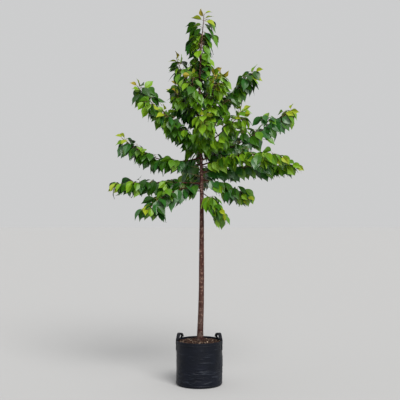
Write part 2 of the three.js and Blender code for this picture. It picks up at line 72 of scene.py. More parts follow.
BAG_HEIGHT = 0.385
BAG_MID_RADIUS = 0.201
BAG_RIM_RADIUS = 0.198
BAG_FOOT_RADIUS = 0.186
BAG_WALL = 0.003
BAG_HEM_HEIGHT = 0.030
BAG_HEM_RADIUS = 0.200

STRAP_WIDTH = 0.030
STRAP_THICKNESS = 0.003
STRAP_SEWN_LENGTH = 0.085
STRAP_LEG_SHARE = 0.28  # of the strap's line, for each sewn leg
HANDLE_RISE = 0.054
STRAP_SLUMP = 0.88  # how much of that the soft loops keep
HANDLE_LEAN = 0.010
HANDLE_HALF_ANGLE = 23
HANDLE_AZIMUTHS = {"handle_right": 15, "handle_left": 165}

COMPOST_EDGE_HEIGHT = 0.366
GROUND_HEIGHT = 0.380
GROUND_SEAT_RADIUS = 0.042

TRUNK_TOP = 3.060
TREE_TOP = 3.215
TRUNK_DIAMETERS = (  # height, diameter
    (GROUND_HEIGHT, 0.053),
    (0.650, 0.049),
    (1.165, 0.043),
    (1.600, 0.035),
    (1.950, 0.024),
    (2.470, 0.018),
    (2.800, 0.0135),
    (TRUNK_TOP, 0.0085),
)
FLARE_RADIUS = 0.006
FLARE_HEIGHT = 0.045
FLARE_LOBES = 5
TRUNK_LINE = (
    (0.006, 0.000, GROUND_HEIGHT),
    (0.018, 0.004, 0.730),
    (0.021, -0.004, 1.200),
    (0.022, 0.003, 1.690),
    (0.013, 0.005, 2.130),
    (0.006, -0.003, 2.560),
    (0.016, 0.000, 2.880),
    (0.042, 0.004, TREE_TOP),
)

# Boughs: height on the trunk, azimuth in degrees, reach, rise, bow, radius at the trunk, and the
# length of bare wood before the foliage starts
BOUGHS = {
    "left_low": (1.743, 184, 0.770, -0.015, 0.015, 0.0070, 0.130),
    "left_mid": (1.972, 177, 0.695, 0.170, -0.105, 0.0065, 0.120),
    "left_high": (2.125, 172, 0.560, 0.475, -0.060, 0.0060, 0.110),
    "right_low": (1.840, -4, 0.825, 0.055, 0.020, 0.0070, 0.140),
    "right_mid": (1.945, 9, 0.820, 0.455, -0.035, 0.0070, 0.130),
    "right_high": (2.270, 10, 0.495, 0.455, 0.000, 0.0055, 0.100),
    "right_drooping": (1.775, -14, 0.405, -0.165, 0.030, 0.0050, 0.085),
    "front_right_low": (1.900, -27, 0.770, 0.045, 0.060, 0.0065, 0.150),
    "front_right_mid": (2.030, -41, 0.455, 0.315, -0.020, 0.0055, 0.090),
    "front_mid": (2.085, -84, 0.470, 0.200, -0.030, 0.0058, 0.090),
    "front_left_low": (1.708, 223, 0.640, -0.200, 0.060, 0.0060, 0.120),
    "front_left_mid": (2.060, 222, 0.430, 0.300, -0.030, 0.0055, 0.090),
    "back_low": (1.760, 100, 0.690, 0.070, 0.030, 0.0065, 0.120),
    "back_left_mid": (1.900, 137, 0.560, 0.230, -0.030, 0.0060, 0.110),
    "back_right_mid": (2.010, 58, 0.580, 0.260, -0.030, 0.0060, 0.110),
    "back_left_high": (2.270, 125, 0.360, 0.380, -0.030, 0.0052, 0.085),
}
BOUGH_WANDER = 0.03
BOUGH_COLLAR = 0.45

# Shoots from the trunk: height, azimuth, reach, rise, bow, and the length kept free of leaves
SHOOTS = {
    "left_top": (2.490, 168, 0.210, 0.350, -0.060, 0.060),
    "front_right_top": (2.215, -55, 0.240, 0.430, -0.040, 0.060),
    "front_drooping": (1.665, -48, 0.235, -0.185, 0.025, 0.060),
    "front_high": (2.330, -108, 0.250, 0.330, -0.030, 0.060),
    "back_right_high": (2.400, 62, 0.270, 0.350, -0.030, 0.060),
    "left_short": (2.330, 196, 0.230, 0.200, -0.020, 0.050),
    "right_short": (2.450, -12, 0.190, 0.230, -0.020, 0.050),
}

# Spurs close to the trunk: height, azimuth, reach, rise
SPURS = {
    "low_left": (1.680, 205, 0.100, -0.020),
    "low_right": (1.890, 28, 0.095, 0.010),
    "mid_left": (2.030, 190, 0.090, 0.055),
    "mid_back": (2.120, 95, 0.070, 0.120),
    "mid_right": (2.135, -14, 0.065, 0.110),
    "upper_left": (2.540, 210, 0.045, 0.260),
    "upper_right": (2.580, -30, 0.045, 0.260),
    "upper_back": (2.620, 90, 0.045, 0.260),
    "crown_front": (2.800, 265, 0.038, 0.230),
    "crown_right": (2.830, 25, 0.038, 0.230),
    "crown_left": (2.860, 145, 0.038, 0.230),
}
SPUR_HUG = 0.5
SPUR_BARE = 0.028
SHOOT_RADIUS = 0.0042
SPUR_RADIUS = 0.0034
TRUNK_REACH = 0.200
ON_TRUNK = 0.003  # nearer than this, leaves stand to all sides
TRUNK_PUSH = 1.3  # how strongly leaves near the trunk turn away from it
LEVEL_FLATNESS = 0.75  # how much less the leaves of a level shoot stand up and down

# Colours of the grown leaves, dealt out by spray. A spray's main colour is one of the first four.
LEAF_TONES = ("deep", "forest", "blue", "fresh", "bright")
LIT_AND_SHADED_TONES = {  # for masses on that side, the first that fits: darker tones on the left as painted shade, brighter ones at the front as painted light
    "left": ("deep", "forest", "blue", "deep", "fresh"),
    "front": ("forest", "fresh", "fresh", "bright", "blue"),
}

STEM_TIP_RADIUS = 0.0022
TWIG_SPACING = 0.150
TWIG_LENGTH = 0.170
TWIG_RADIUS = 0.0026
TWIG_TIP_RADIUS = 0.0015
TWIG_ANGLE = math.pi
GOLDEN_ANGLE = math.radians(137.5)
LEAF_LENGTH = 0.142
YOUNG_LEAF_SHARE = 0.62
SHINGLE_ANGLE = math.radians(24)
LEAF_DROP = 0.050
LEAF_TRIES = 16
SPACE_MARGIN = 0.002
SEARCH_TURN = 0.6  # radians that a leaf's direction may move with each new try
SEARCH_SHRINK = 0.035  # how much shorter it gets with each
SEED = 20240

# ---- sizes of the finer growth

NODE_SPACING = 0.019  # between one leaf and the next
YOUNG_REACH = 0.130  # from a shoot's tip, where its leaves are young
YOUNGER_SHOOTS = {"foliage_front_right_top": 0.340, "foliage_front_right_mid": 0.300}
STEM_BARE = 0.008  # of each bough's foliage stem
BARE_FOOT = 0.030  # of each bough's own wood, next to the trunk
TRUNK_TWIG_HEIGHTS = (1.690, 2.060)
TRUNK_TWIGS = 15
TRUNK_TWIG_LENGTH = 0.085
TRUNK_TWIG_NODES = 4
FRONT_KEPT_CLEAR = 48  # degrees to each side, where the photo shows the bare trunk
LEAFY_TRUNK_FROM = 2.060
LEAFY_TRUNK_SPACING = 0.014
LEADER_BARE = 0.015
LEADER_DEPTH = 0.35  # how far its leaves spread to front and back, next to left and right
OPEN_LEADER = (2.330, 3.150)  # where the photo shows the leader between its leaves
OPEN_REACH = (0.020, 0.045, 0.070, 0.095)  # in front of it
OPEN_RADIUS = 0.010
SKY = np.array([  # gaps of the photo: x and z where the trunk stands, and radius
    (-0.486, 2.108, 0.045),
    (-0.380, 2.080, 0.045),
    (-0.260, 2.030, 0.045),
    (-0.160, 1.975, 0.035),
    (0.173, 2.208, 0.028),
    (0.159, 2.134, 0.020),
    (0.286, 2.367, 0.030),
    (0.570, 2.085, 0.032),
])
CAMERA = Vector((0.007, -7.0, 1.6))  # where the photo was taken from
SPUR_TWIG_SPACING = 0.062  # between short side spurs, on stems and side twigs alike
SPUR_TWIG_LENGTH = 0.050
SPUR_TWIG_RADIUS = 0.0019
SPUR_TWIG_TIP_RADIUS = 0.0014
SPUR_TWIG_NODES = 3
SAME_REACH = 0.025  # how far a leaf may stand out of its CAD mass's box
TREE_MARGIN = 0.008  # and out of the whole tree's
LIMB_CLEARANCE = 0.003
NEIGHBOUR_REACH = 0.150

STALK_SHARE = 0.19  # of a leaf's length
STALK_RADIUS = 0.0011
BLADE_HALF_WIDTH = 0.292  # as a share of the blade's length
TESTED_SHARE = 0.8  # of a blade's width, kept clear of other leaves
BLADE_ROWS = 12
TOOTH_HEIGHT = 0.0015
TOOTHED_LENGTH = 0.11  # of a blade with teeth of that height
VEIN_SWEEP = 0.07  # how far a side vein runs on towards the tip, as a share of the length
VEIN_RELIEF = 0.0010

BUD_LENGTH = 0.007
BUD_SWELL = (1.0, 1.35, 1.45, 1.1, 0.25)  # of its twig's radius, from foot to tip
COLLAR_LENGTH = 0.025
BARK_RING = 0.004  # from one ring of the trunk's and the boughs' meshes to the next
TRUNK_SIDES = 48
BOUGH_SIDES = 12
TWIG_SIDES = 6
LENTICELS = 900
SCARS = 16
SCAR_HEIGHTS = (0.55, 1.62)

# ---- sizes of the bag and compost

BAG_SIDES = 360
BAG_ROWS = 190
BAG_INSIDE = BAG_RIM_RADIUS - BAG_WALL
BAG_LOW_RADIUS = 0.200  # just above the rounded foot
FOOT_OUT, FOOT_RISE = 0.0135, 0.016  # of the foot's rounding
PIPING_SIZE, PIPING_HEIGHT = 0.0022, 0.019  # of the seam round the foot
GROOVE_DEPTH, GROOVE_WIDTH, GROOVE_RISE = 0.0012, 0.002, 0.006  # of the groove above it
CREASES = 460
FULL_SHEEN_CREASE = 0.0022  # height of a crease whose ridge gets the full painted highlight
HEM_FOOT = BAG_HEIGHT - BAG_HEM_HEIGHT
HEM_ROLL = (BAG_HEM_RADIUS - BAG_INSIDE) / 2  # radius of its folded upper edge
HEM_STITCH = BAG_HEIGHT - 0.024  # height of its row of stitches
HEM_DIP = 0.0008
HEM_SWELL = 0.0014  # how far the folded hem stands out of the plain one
CALM_ABOVE = 0.292  # where the sewn straps keep the cloth flat
TAPE = 0.0028  # width of the cloth's woven tapes
WEBBING_TAPE = 0.0016

LEG_AZIMUTHS = [
    azimuth + leg
    for azimuth in HANDLE_AZIMUTHS.values()
    for leg in (-HANDLE_HALF_ANGLE, HANDLE_HALF_ANGLE)
]
STRAP_RINGS = 110
STRAP_FOLD = 2.4  # thicknesses added where the loop is folded
THREAD_RADIUS = 0.0005
HEM_PITCH = 0.00702  # from one stitch of the hem to the next
STITCHED = 0.72  # share of it that a stitch takes
BESIDE_LEG = 6  # degrees round the hem, where a strap hides its stitches
SEWN_BOX = (0.015, 0.200)  # the stitched box on a leg, as shares of the strap's line
SEWN_HALF_WIDTH = STRAP_WIDTH / 2 - 0.004
SEAMS = (  # of that box: from and to, across (-1 to 1) and up (0 to 1), and number of stitches
    ((-1, 0), (-1, 1), 12),
    ((1, 0), (1, 1), 12),
    ((1, 0), (-1, 1), 12),
    ((-1, 0), (1, 1), 12),
    ((-1, 0), (1, 0), 4),
    ((-1, 1), (1, 1), 4),
)

COMPOST_SIDES = 160
COMPOST_ROWS = 64
COMPOST_GAP = 0.0035  # to the bag's wall
# Height and inset of the rings down the filling's side
COMPOST_BELOW = ((0.34, 0.0), (0.25, 0.0), (0.1, 0.0), (0.02, 0.002), (0.0045, 0.012))
CHIPS = 2700
PALE_CHIPS = 100  # the last of them, along the front rim
CHIP_SIZES = ((0.003, 0.011), (0.002, 0.006), (0.0007, 0.002))  # least and greatest half sizes
EDGE_CHIPS_FROM = 0.186  # radius beyond which chips are smaller

# ---- meshes and materials


def linear(value):
    """A linear colour value from a screen value of 0 to 255."""
    value /= 255
    return value / 12.92 if value <= 0.04045 else ((value + 0.055) / 1.055) ** 2.4


def srgb(*colour):
    return (*(linear(value) for value in colour), 1.0)


def linked(name, data):
    """A new object in the scene."""
    made = bpy.data.objects.new(name, data)
    bpy.context.scene.collection.objects.link(made)
    return made


def around(sides):
    """Angles at even steps round a full turn."""
    return np.linspace(0, FULL_TURN, sides, endpoint=False)


def turned(angle):
    """The same angle, from minus half a turn to half a turn."""
    return (angle + math.pi) % FULL_TURN - math.pi


def ring_points(turn, radius, height):
    """Rows of points round the middle."""
    turn, radius, height = np.broadcast_arrays(turn, radius, height)
    return np.stack([np.cos(turn) * radius, np.sin(turn) * radius, height], 2)


def ring_faces(rows, sides):
    """Faces between rows of points round a closed shape, and one over each end."""
    faces = []
    for row in range(rows - 1):
        for side in range(sides):
            a, b = row * sides + side, row * sides + (side + 1) % sides
            faces.append([a, b, b + sides, a + sides])
    last = (rows - 1) * sides
    return [*faces, list(range(sides))[::-1], list(range(last, last + sides))]


def mesh_piece(name, points, faces, materials, replaces=(), kinds=None, uv=None, facts=None):
    """A joined mesh as one smooth-shaded piece of the tree, riding on its only body."""
    mesh = bpy.data.meshes.new(name)
    mesh.from_pydata([tuple(p) for p in points], [], faces)
    for material in materials:
        mesh.materials.append(material)
    if kinds is not None:
        mesh.polygons.foreach_set("material_index", np.asarray(kinds, np.int32))
    mesh.polygons.foreach_set("use_smooth", np.ones(len(faces), bool))
    if uv is not None:
        corners = np.zeros(len(mesh.loops), np.int32)
        mesh.loops.foreach_get("vertex_index", corners)
        layer = mesh.uv_layers.new(name="surface")
        layer.uv.foreach_set("vector", np.asarray(uv, np.float32)[corners].ravel())
    for fact, values in (facts or {}).items():
        data = mesh.attributes.new(fact, "FLOAT", "POINT").data
        data.foreach_set("value", np.asarray(values, np.float32))
    mesh.update()
    piece = linked(name, mesh)
    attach(piece, "root")
    if replaces:
        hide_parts(*replaces)


class Parts:
    """Points and faces gathered for one joined mesh."""

    def __init__(self):
        self.points, self.faces, self.kinds, self.count = [], [], [], 0

    def add(self, points, faces, kind=0):
        self.points.append(points)
        self.faces.extend([corner + self.count for corner in face] for face in faces)
        self.kinds.extend([kind] * len(faces))
        self.count += len(points)

    def piece(self, name, materials, slot, replaces=()):
        points = np.concatenate(self.points)
        mesh_piece(name, points, self.faces, materials, replaces, self.kinds)


class Shader:
    """A material with one Principled shader, and short ways to add nodes to it."""

    def __init__(self, name, roughness, gloss=0.5, colour=(1, 1, 1, 1)):
        self.material = bpy.data.materials.new(name)
        self.material.use_nodes = True
        self.tree = self.material.node_tree
        self.inputs = self.tree.nodes["Principled BSDF"].inputs
        self.inputs["Base Color"].default_value = colour
        self.inputs["Roughness"].default_value = roughness
        self.inputs["Specular IOR Level"].default_value = gloss

    def node(self, kind, inputs=(), **settings):
        node = self.tree.nodes.new(kind)
        for key, value in settings.items():
            setattr(node, key, value)
        for key, value in dict(inputs).items():
            if isinstance(value, bpy.types.NodeSocket):
                self.tree.links.new(value, node.inputs[key])
            else:
                node.inputs[key].default_value = value
        return node

    def math(self, operation, *values):
        return self.node("ShaderNodeMath", enumerate(values), operation=operation).outputs[0]

    def where(self, scale=(1, 1, 1), source="Object"):
        coordinates = self.node("ShaderNodeTexCoord").outputs[source]
        inputs = {"Vector": coordinates, "Scale": scale}
        return self.node("ShaderNodeMapping", inputs).outputs[0]

    def noise(self, scale, where=None, detail=4.0):
        inputs = {"Scale": scale, "Detail": detail, "Roughness": 0.6}
        inputs["Vector"] = where or self.where()
        return self.node("ShaderNodeTexNoise", inputs).outputs["Fac"]

    def fact(self, name):
        """A value that the mesh holds for each of its points."""
        return self.node("ShaderNodeAttribute", attribute_name=name).outputs["Fac"]

    def ramp(self, factor, low, dark, high, light):
        node = self.node("ShaderNodeValToRGB", {"Fac": factor})
        for element, place, colour in zip(node.color_ramp.elements, (low, high), (dark, light)):
            element.position = place
            element.color = colour
        return node.outputs["Color"]

    def mix(self, factor, first, second):
        inputs = {0: factor, 6: first, 7: second}  # the colours' sockets share their names
        return self.node("ShaderNodeMix", inputs, data_type="RGBA").outputs[2]

    def ranged(self, value, low, high):
        inputs = {"Value": value, "To Min": low, "To Max": high}
        return self.node("ShaderNodeMapRange", inputs).outputs["Result"]

    def set(self, socket, source):
        self.tree.links.new(source, self.inputs[socket])

    def roughen(self, scale, low, high):
        self.set("Roughness", self.ranged(self.noise(scale), low, high))

    def mottle(self, noise, low, dark, high, light):
        self.set("Base Color", self.ramp(noise, low, dark, high, light))

    def bump(self, height, distance, strength):
        inputs = {"Height": height, "Distance": distance, "Strength": strength}
        self.set("Normal", self.node("ShaderNodeBump", inputs).outputs["Normal"])


# ---- lines


def heading(azimuth):
    angle = math.radians(azimuth)
    return Vector((math.cos(angle), math.sin(angle), 0))


def smooth_step(value, low, high):
    share = min(1.0, max(0.0, (value - low) / (high - low)))
    return share * share * (3 - 2 * share)


def lerp(first, second, share):
    return first + (second - first) * share


class Line:
    """A line as many short straight lengths, read by the share of its length."""

    def __init__(self, points):
        self.points = [Vector(p) for p in points]
        self.at = [0.0]
        for first, second in zip(self.points, self.points[1:]):
            self.at.append(self.at[-1] + (second - first).length)
        self.length = self.at[-1]

    def place(self, share):
        distance = min(max(share, 0.0), 1.0) * self.length
        low = min(bisect_right(self.at, distance), len(self.at) - 1) - 1
        return low, (distance - self.at[low]) / (self.at[low + 1] - self.at[low])

    def point(self, share):
        index, part = self.place(share)
        return self.points[index].lerp(self.points[index + 1], part)

    def along(self, share):
        index, _ = self.place(share)
        return (self.points[index + 1] - self.points[index]).normalized()

    def beyond(self, distance):
        """The rest of the line, from a distance along it."""
        start = distance / self.length
        kept = [p for p, at in zip(self.points, self.at) if at > distance]
        return Line([self.point(start), *kept])


def through(points, samples=600):
    """A smooth centripetal line through the points."""
    knots = [Vector(p) for p in points]
    last = len(knots) - 1
    made = []
    for sample in range(samples + 1):
        place = sample / samples * last
        i = min(int(place), last - 1)
        w = place - i
        p1, p2 = knots[i], knots[i + 1]
        p0 = knots[i - 1] if i else 2 * p1 - p2
        p3 = knots[i + 2] if i + 2 <= last else 2 * p2 - p1
        d0, d1, d2 = (math.sqrt((b - a).length) for a, b in ((p0, p1), (p1, p2), (p2, p3)))
        t1 = ((p1 - p0) / d0 - (p2 - p0) / (d0 + d1) + (p2 - p1) / d1) * d1
        t2 = ((p2 - p1) / d1 - (p3 - p1) / (d1 + d2) + (p3 - p2) / d2) * d1
        c2 = -3 * p1 + 3 * p2 - 2 * t1 - t2
        c3 = 2 * p1 - 2 * p2 + t1 + t2
        made.append(p1 + t1 * w + c2 * w * w + c3 * w**3)
    return Line(made)


trunk_samples = np.array([tuple(p) for p in through(TRUNK_LINE).points])


def trunk_point(height):
    x, y = (float(np.interp(height, trunk_samples[:, 2], trunk_samples[:, k])) for k in (0, 1))
    return Vector((x, y, height))


def trunk_radius(height):
    heights, diameters = zip(*TRUNK_DIAMETERS)
    return np.interp(height, heights, diameters) / 2


def bough_line(root, azimuth, reach, rise, bow=0.0, sway=0.0, hug=1.0, samples=80):
    """Straight out along its azimuth, with a rise, a bow and a slight sideways sway."""
    out, side = heading(azimuth), heading(azimuth + 90)
    points = []
    for t in (i / samples for i in range(samples + 1)):
        lift = rise * t + bow * 4 * t * (1 - t)
        swing = sway * math.sin(math.pi * 1.5 * t)
        points.append(root + out * reach * t**hug + side * swing + UP * lift)
    return Line(points)


def cross_directions(along):
    side = along.cross(UP)
    if side.length_squared < 1e-6:
        side = Vector((1, 0, 0))
    side.normalize()
    return side, side.cross(along).normalized()


def tube(line, radius_at, sides, ring, relief=0.0, seed=0):
    """Points and faces of a closed bar along a line, with a little relief."""
    rings = max(3, int(line.length / ring))
    turns = around(sides)
    rough = np.random.default_rng(seed).normal(0, relief, (rings + 1, sides))
    points, side = [], cross_directions(line.along(0))[0]
    for i in range(rings + 1):
        share = i / rings
        along = line.along(share)
        side = (side - along * side.dot(along)).normalized()
        radii = radius_at(share) + rough[i]
        spokes = np.outer(np.cos(turns) * radii, side)
        spokes += np.outer(np.sin(turns) * radii, along.cross(side))
        points.append(np.array(line.point(share)) + spokes)
    return np.concatenate(points), ring_faces(rings + 1, sides)


# ---- growth


def seeded(seed):
    """A repeatable stream of numbers from 0 to 1."""
    full = 0xFFFFFFFF
    state = seed & full

    def draw():
        nonlocal state
        state = (state + 0x6D2B79F5) & full
        mixed = state
        mixed = ((mixed ^ (mixed >> 15)) * (mixed | 1)) & full
        mixed ^= (mixed + (((mixed ^ (mixed >> 7)) * (mixed | 61)) & full)) & full
        return (mixed ^ (mixed >> 14)) / 2**32

    return draw


def outwards(root, along, turn):
    """All round an upright shoot, to the sides of a level one, and away from the trunk near it."""
    side, over = cross_directions(along)
    level = 1 - abs(along.z)
    away = (root - trunk_point(root.z)) * Vector((1, 1, 0))
    nearness = max(0.0, 1 - away.length / TRUNK_REACH)
    out = side * math.cos(turn) + over * math.sin(turn) * (1 - LEVEL_FLATNESS * level)
    return (out + away / max(away.length, ON_TRUNK) * nearness * TRUNK_PUSH).normalized()


def leaf_basis(along, out, youth, random):
    """Directions along a leaf, across it and up from its upper side."""
    level = 1 - abs(along.z)
    axis = out * (0.6 - 0.25 * level + 0.2 * random())
    axis += along * (0.15 + 0.25 * level + 0.3 * random() + 0.35 * youth)
    axis += UP * (-0.7 - 0.6 * random() + (1.1 - 0.7 * level) * youth)
    axis.normalize()
    across = (out * 0.8 + UP * 0.5).cross(axis).normalized()
    across.rotate(Matrix.Rotation(SHINGLE_ANGLE * (0.6 + 0.8 * random()), 3, axis))
    return axis, across, axis.cross(across)


def half_width(share):
    """Half the blade's width along it: rounded at the stalk, drawn out at the tip."""
    share = np.clip(share, 0, 1)
    body = np.sin(np.pi * share**0.8) ** 0.95
    tip = np.clip((share - 0.5) / 0.5, 0, 1)
    drawn = 1 - 0.6 * tip * tip * (3 - 2 * tip)
    return np.maximum(BLADE_HALF_WIDTH * body * drawn, 0.006)


class Leaf:
    """A leaf's place, size and bends."""

    def __init__(self, root, out, basis, length, youth, random):
        self.root, self.out, self.basis, self.youth = root, out, basis, youth
        self.stalk = length * STALK_SHARE
        self.length = length - self.stalk
        self.bend = 0.2 + 0.45 * random()
        self.fold = 0.14 + 0.2 * random() + 0.4 * youth
        self.twist = 0.5 * (random() - 0.5)
        self.wave = 0.0022 * random()
        self.phase = FULL_TURN * random()

    def base(self):
        """Where the blade starts: the stalk rises a little before the leaf hangs from it."""
        rising = self.out * 0.85 + UP * (0.2 + 0.4 * self.youth) + self.basis[0] * 0.35
        return self.root + rising.normalized() * self.stalk

    def shaped(self, along, across, lift):
        """World points for places along (0 to 1) and across (in metres) the flat blade."""
        edge = np.abs(across) / (half_width(along) * self.length)
        wave = self.wave * np.sin(9 * along + self.phase + np.sign(across)) * edge**2
        rise = lift + self.fold * np.abs(across) * (1 - 0.3 * along) + wave
        roll = self.twist * along
        wide = across * np.cos(roll) - rise * np.sin(roll)
        high = across * np.sin(roll) + rise * np.cos(roll)
        angle = self.bend * along
        far = self.length * np.sin(angle) / self.bend + high * np.sin(angle)
        down = -self.length * (1 - np.cos(angle)) / self.bend + high * np.cos(angle)
        axis, side, upper = (np.array(v) for v in self.basis)
        start = np.array(self.base())
        return start + np.outer(far, axis) + np.outer(wide, side) + np.outer(down, upper)


def fine_blade():
    """Places and faces of a whole blade: side veins swept forward, and a toothed edge."""
    rows = np.linspace(0, 1, BLADE_ROWS + 1)
    ends = rows + VEIN_SWEEP * np.sin(np.pi * rows)
    relief = VEIN_RELIEF * np.where(np.arange(BLADE_ROWS + 1) % 2, -1, 1) * np.sin(np.pi * rows)
    along, across, tooth, lift, faces = [], [], [], [], []

    def add(place, share, out=0.0, up=0.0):
        along.append(place)
        across.append(share)
        tooth.append(out)
        lift.append(up)
        return len(along) - 1

    for side in (1, -1):  # the halves meet in a sharp midrib, so each has its own middle
        middle = [add(row, 0.0) for row in rows]
        inner = [add((a + b) / 2, 0.55 * side, 0, up) for a, b, up in zip(rows, ends, relief)]
        notch = [add(b, side) for b in ends]
        for i in range(BLADE_ROWS):
            step = ends[i + 1] - ends[i]
            size = side * math.sin(math.pi * (i + 0.5) / BLADE_ROWS) ** 0.5
            edge = [
                notch[i],
                add(ends[i] + 0.4 * step, side, size),
                add(ends[i] + 0.5 * step, side),
                add(ends[i] + 0.9 * step, side, size),
                notch[i + 1],
            ]
            quad = [middle[i], middle[i + 1], inner[i + 1], inner[i]]
            outer = [inner[i], inner[i + 1], *edge[::-1]]
            faces += [quad, outer] if side > 0 else [quad[::-1], outer[::-1]]
    return tuple(np.array(v) for v in (along, across, tooth, lift)), faces


FINE_PLACES, FINE_FACES = fine_blade()

# A blade in a few faces, for testing what it would touch: its foot, three rows of three, its tip
COARSE_ALONG = np.array([0, *np.repeat((0.25, 0.5, 0.75), 3), 1])
COARSE_ACROSS = np.array([0, *(-1, 0, 1) * 3, 0])
COARSE_TRIANGLES = [
    triangle
    for a in (1, 2, 4, 5)
    for triangle in ((a, a + 1, a + 4), (a, a + 4, a + 3))
] + [(0, 1, 2), (0, 2, 3), (7, 8, 10), (8, 9, 10)]


def coarse_points(leaf):
    across = COARSE_ACROSS * half_width(COARSE_ALONG) * leaf.length * TESTED_SHARE
    return leaf.shaped(COARSE_ALONG, across, 0)


def fine_points(leaf):
    along, across, tooth, lift = FINE_PLACES
    teeth = tooth * TOOTH_HEIGHT * leaf.length / TOOTHED_LENGTH
    return leaf.shaped(along, across * half_width(along) * leaf.length + teeth, lift)


class Segments:
    """Straight lengths with an owner and a radius each, for measuring distances."""

    def __init__(self):
        self.rows, self.arrays = [], None

    def add(self, points, owner, radius=0.0):
        self.rows += [(*a, *b, owner, radius) for a, b in zip(points, points[1:])]
        self.arrays = None

    def distances(self, points):
        """From each of the points to each length."""
        if self.arrays is None:
            rows = np.array(self.rows)
            starts, ends = rows[:, :3].copy(), rows[:, 3:6].copy()
            self.owners, self.radii = rows[:, 6], rows[:, 7]
            self.arrays = starts, ends - starts, ((ends - starts) ** 2).sum(1)
        starts, spans, squares = self.arrays
        apart = np.asarray(points, float)[:, None] - starts
        share = np.clip((apart * spans).sum(2) / squares, 0, 1)
        return np.linalg.norm(apart - share[..., None] * spans, axis=2)


stems = Segments()  # each mass's stem, lowered to where its leaves hang
limbs = Segments()  # all wood, which no leaf touches


def in_own_space(points, owner):
    """Whether all the points are nearer to that mass's stem than to any other's."""
    distances = stems.distances(points)
    own = stems.owners == owner
    return bool((distances[:, ~own].min(1) > distances[:, own].min(1) + SPACE_MARGIN).all())


def clear_of_limbs(points):
    return bool((limbs.distances(points) > limbs.radii + LIMB_CLEARANCE).all())


def in_sky(points):
    """Whether any of the points shows in a gap that the photo has."""
    camera, points = np.array(CAMERA), np.asarray(points, float)
    nearer = -CAMERA.y / (points[:, 1:2] - CAMERA.y)
    seen = camera + (points - camera) * nearer
    apart = np.hypot(seen[:, :1] - SKY[:, 0], seen[:, 2:] - SKY[:, 1])
    return bool((apart < SKY[:, 2]).any())


def cut_back(line):
    """A line that ends in a gap of the photo, cut off where it would first show in one."""
    places = [line.point(i / 60) for i in range(61)]
    if not in_sky(places[-1:]):
        return line
    shown = [in_sky([place]) for place in places]
    return Line(places[: shown.index(True)])


class Twig:
    """A shoot: its line, the bare length at its foot, and the number of leaf nodes if fixed."""

    def __init__(self, index, line, bare, radius=0.0, tip_radius=0.0, nodes=None):
        self.index, self.line, self.bare, self.nodes = index, line, bare, nodes
        self.radius, self.tip_radius = radius, tip_radius

    def radius_at(self, share):
        return lerp(self.radius, self.tip_radius, share)


def side_twigs(mass):
    """Side twigs at even steps along the mass's stem, each leaning on along it."""
    line = mass.stem.line
    count = int(line.length / TWIG_SPACING)
    made = []
    for index in range(1, count + 1):
        random = mass.random(index, 200)
        share = (index - 0.65 + 0.3 * random()) / (count + 0.3)
        root, along = line.point(share), line.along(share)
        out = outwards(root, along, mass.turn + index * TWIG_ANGLE)
        reach = TWIG_LENGTH * (0.6 + 0.6 * random()) * (1 - 0.45 * share)
        heads = (along + out).normalized() * reach
        shares = (0, 0.25, 0.5, 0.75, 1)
        droop = [root + heads * t - UP * reach * 0.12 * t * (1 - t) for t in shares]
        if not in_sky(droop[-1:]) and in_own_space(droop[-1:], mass.index):
            made.append(Twig(index, Line(droop), reach * 0.3, TWIG_RADIUS, TWIG_TIP_RADIUS))
    return made


def spur_twigs(mass, carrier):
    """Short spurs at even steps along a stem or a side twig, with a few leaves each."""
    line = carrier.line
    count = int((line.length - carrier.bare) / SPUR_TWIG_SPACING)
    radii = (SPUR_TWIG_RADIUS, SPUR_TWIG_TIP_RADIUS)
    made = []
    for index in range(1, count + 1):
        number = 40 + carrier.index * 12 + index
        random = mass.random(number, 400)
        share = (carrier.bare + (index - 0.5) * SPUR_TWIG_SPACING) / line.length
        root, along = line.point(share), line.along(share)
        out = outwards(root, along, mass.turn + number * GOLDEN_ANGLE)
        reach = SPUR_TWIG_LENGTH * (0.5 + 0.8 * random())
        tip = root + (along * 0.5 + out + UP * 0.15).normalized() * reach
        if not in_sky([tip]) and in_own_space([tip], mass.index):
            spur = Line([root, tip])
            made.append(Twig(number, spur, reach * 0.35, *radii, SPUR_TWIG_NODES))
    return made


def trunk_twigs():
    """Short twigs from the trunk among the lowest boughs, none of them towards the front."""
    made = []
    for number in range(TRUNK_TWIGS):
        random = seeded(SEED + number * 31)
        root = trunk_point(lerp(*TRUNK_TWIG_HEIGHTS, (number + 0.5) / TRUNK_TWIGS))
        azimuth = number * math.degrees(GOLDEN_ANGLE) % 360
        if abs(azimuth - 270) < FRONT_KEPT_CLEAR:
            azimuth = 340 if azimuth > 270 else 200
        reach = TRUNK_TWIG_LENGTH * (0.7 + 0.6 * random())
        tip = root + (heading(azimuth) + UP * (0.1 + 0.3 * random())).normalized() * reach
        radii = (TWIG_RADIUS, TWIG_TIP_RADIUS)
        made.append(Twig(60 + number, Line([root, tip]), reach * 0.35, *radii, TRUNK_TWIG_NODES))
    return made


class Neighbours:
    """The leaves grown so far, found by where they are."""

    def __init__(self):
        self.trees, self.centres = [], np.zeros((0, 3))

    def touches(self, centre, tree):
        near = ((self.centres - centre) ** 2).sum(1) < NEIGHBOUR_REACH**2
        return any(self.trees[i].overlap(tree) for i in np.nonzero(near)[0])

    def add(self, centre, tree):
        self.trees.append(tree)
        self.centres = np.vstack([self.centres, centre])


grown_leaves = Neighbours()


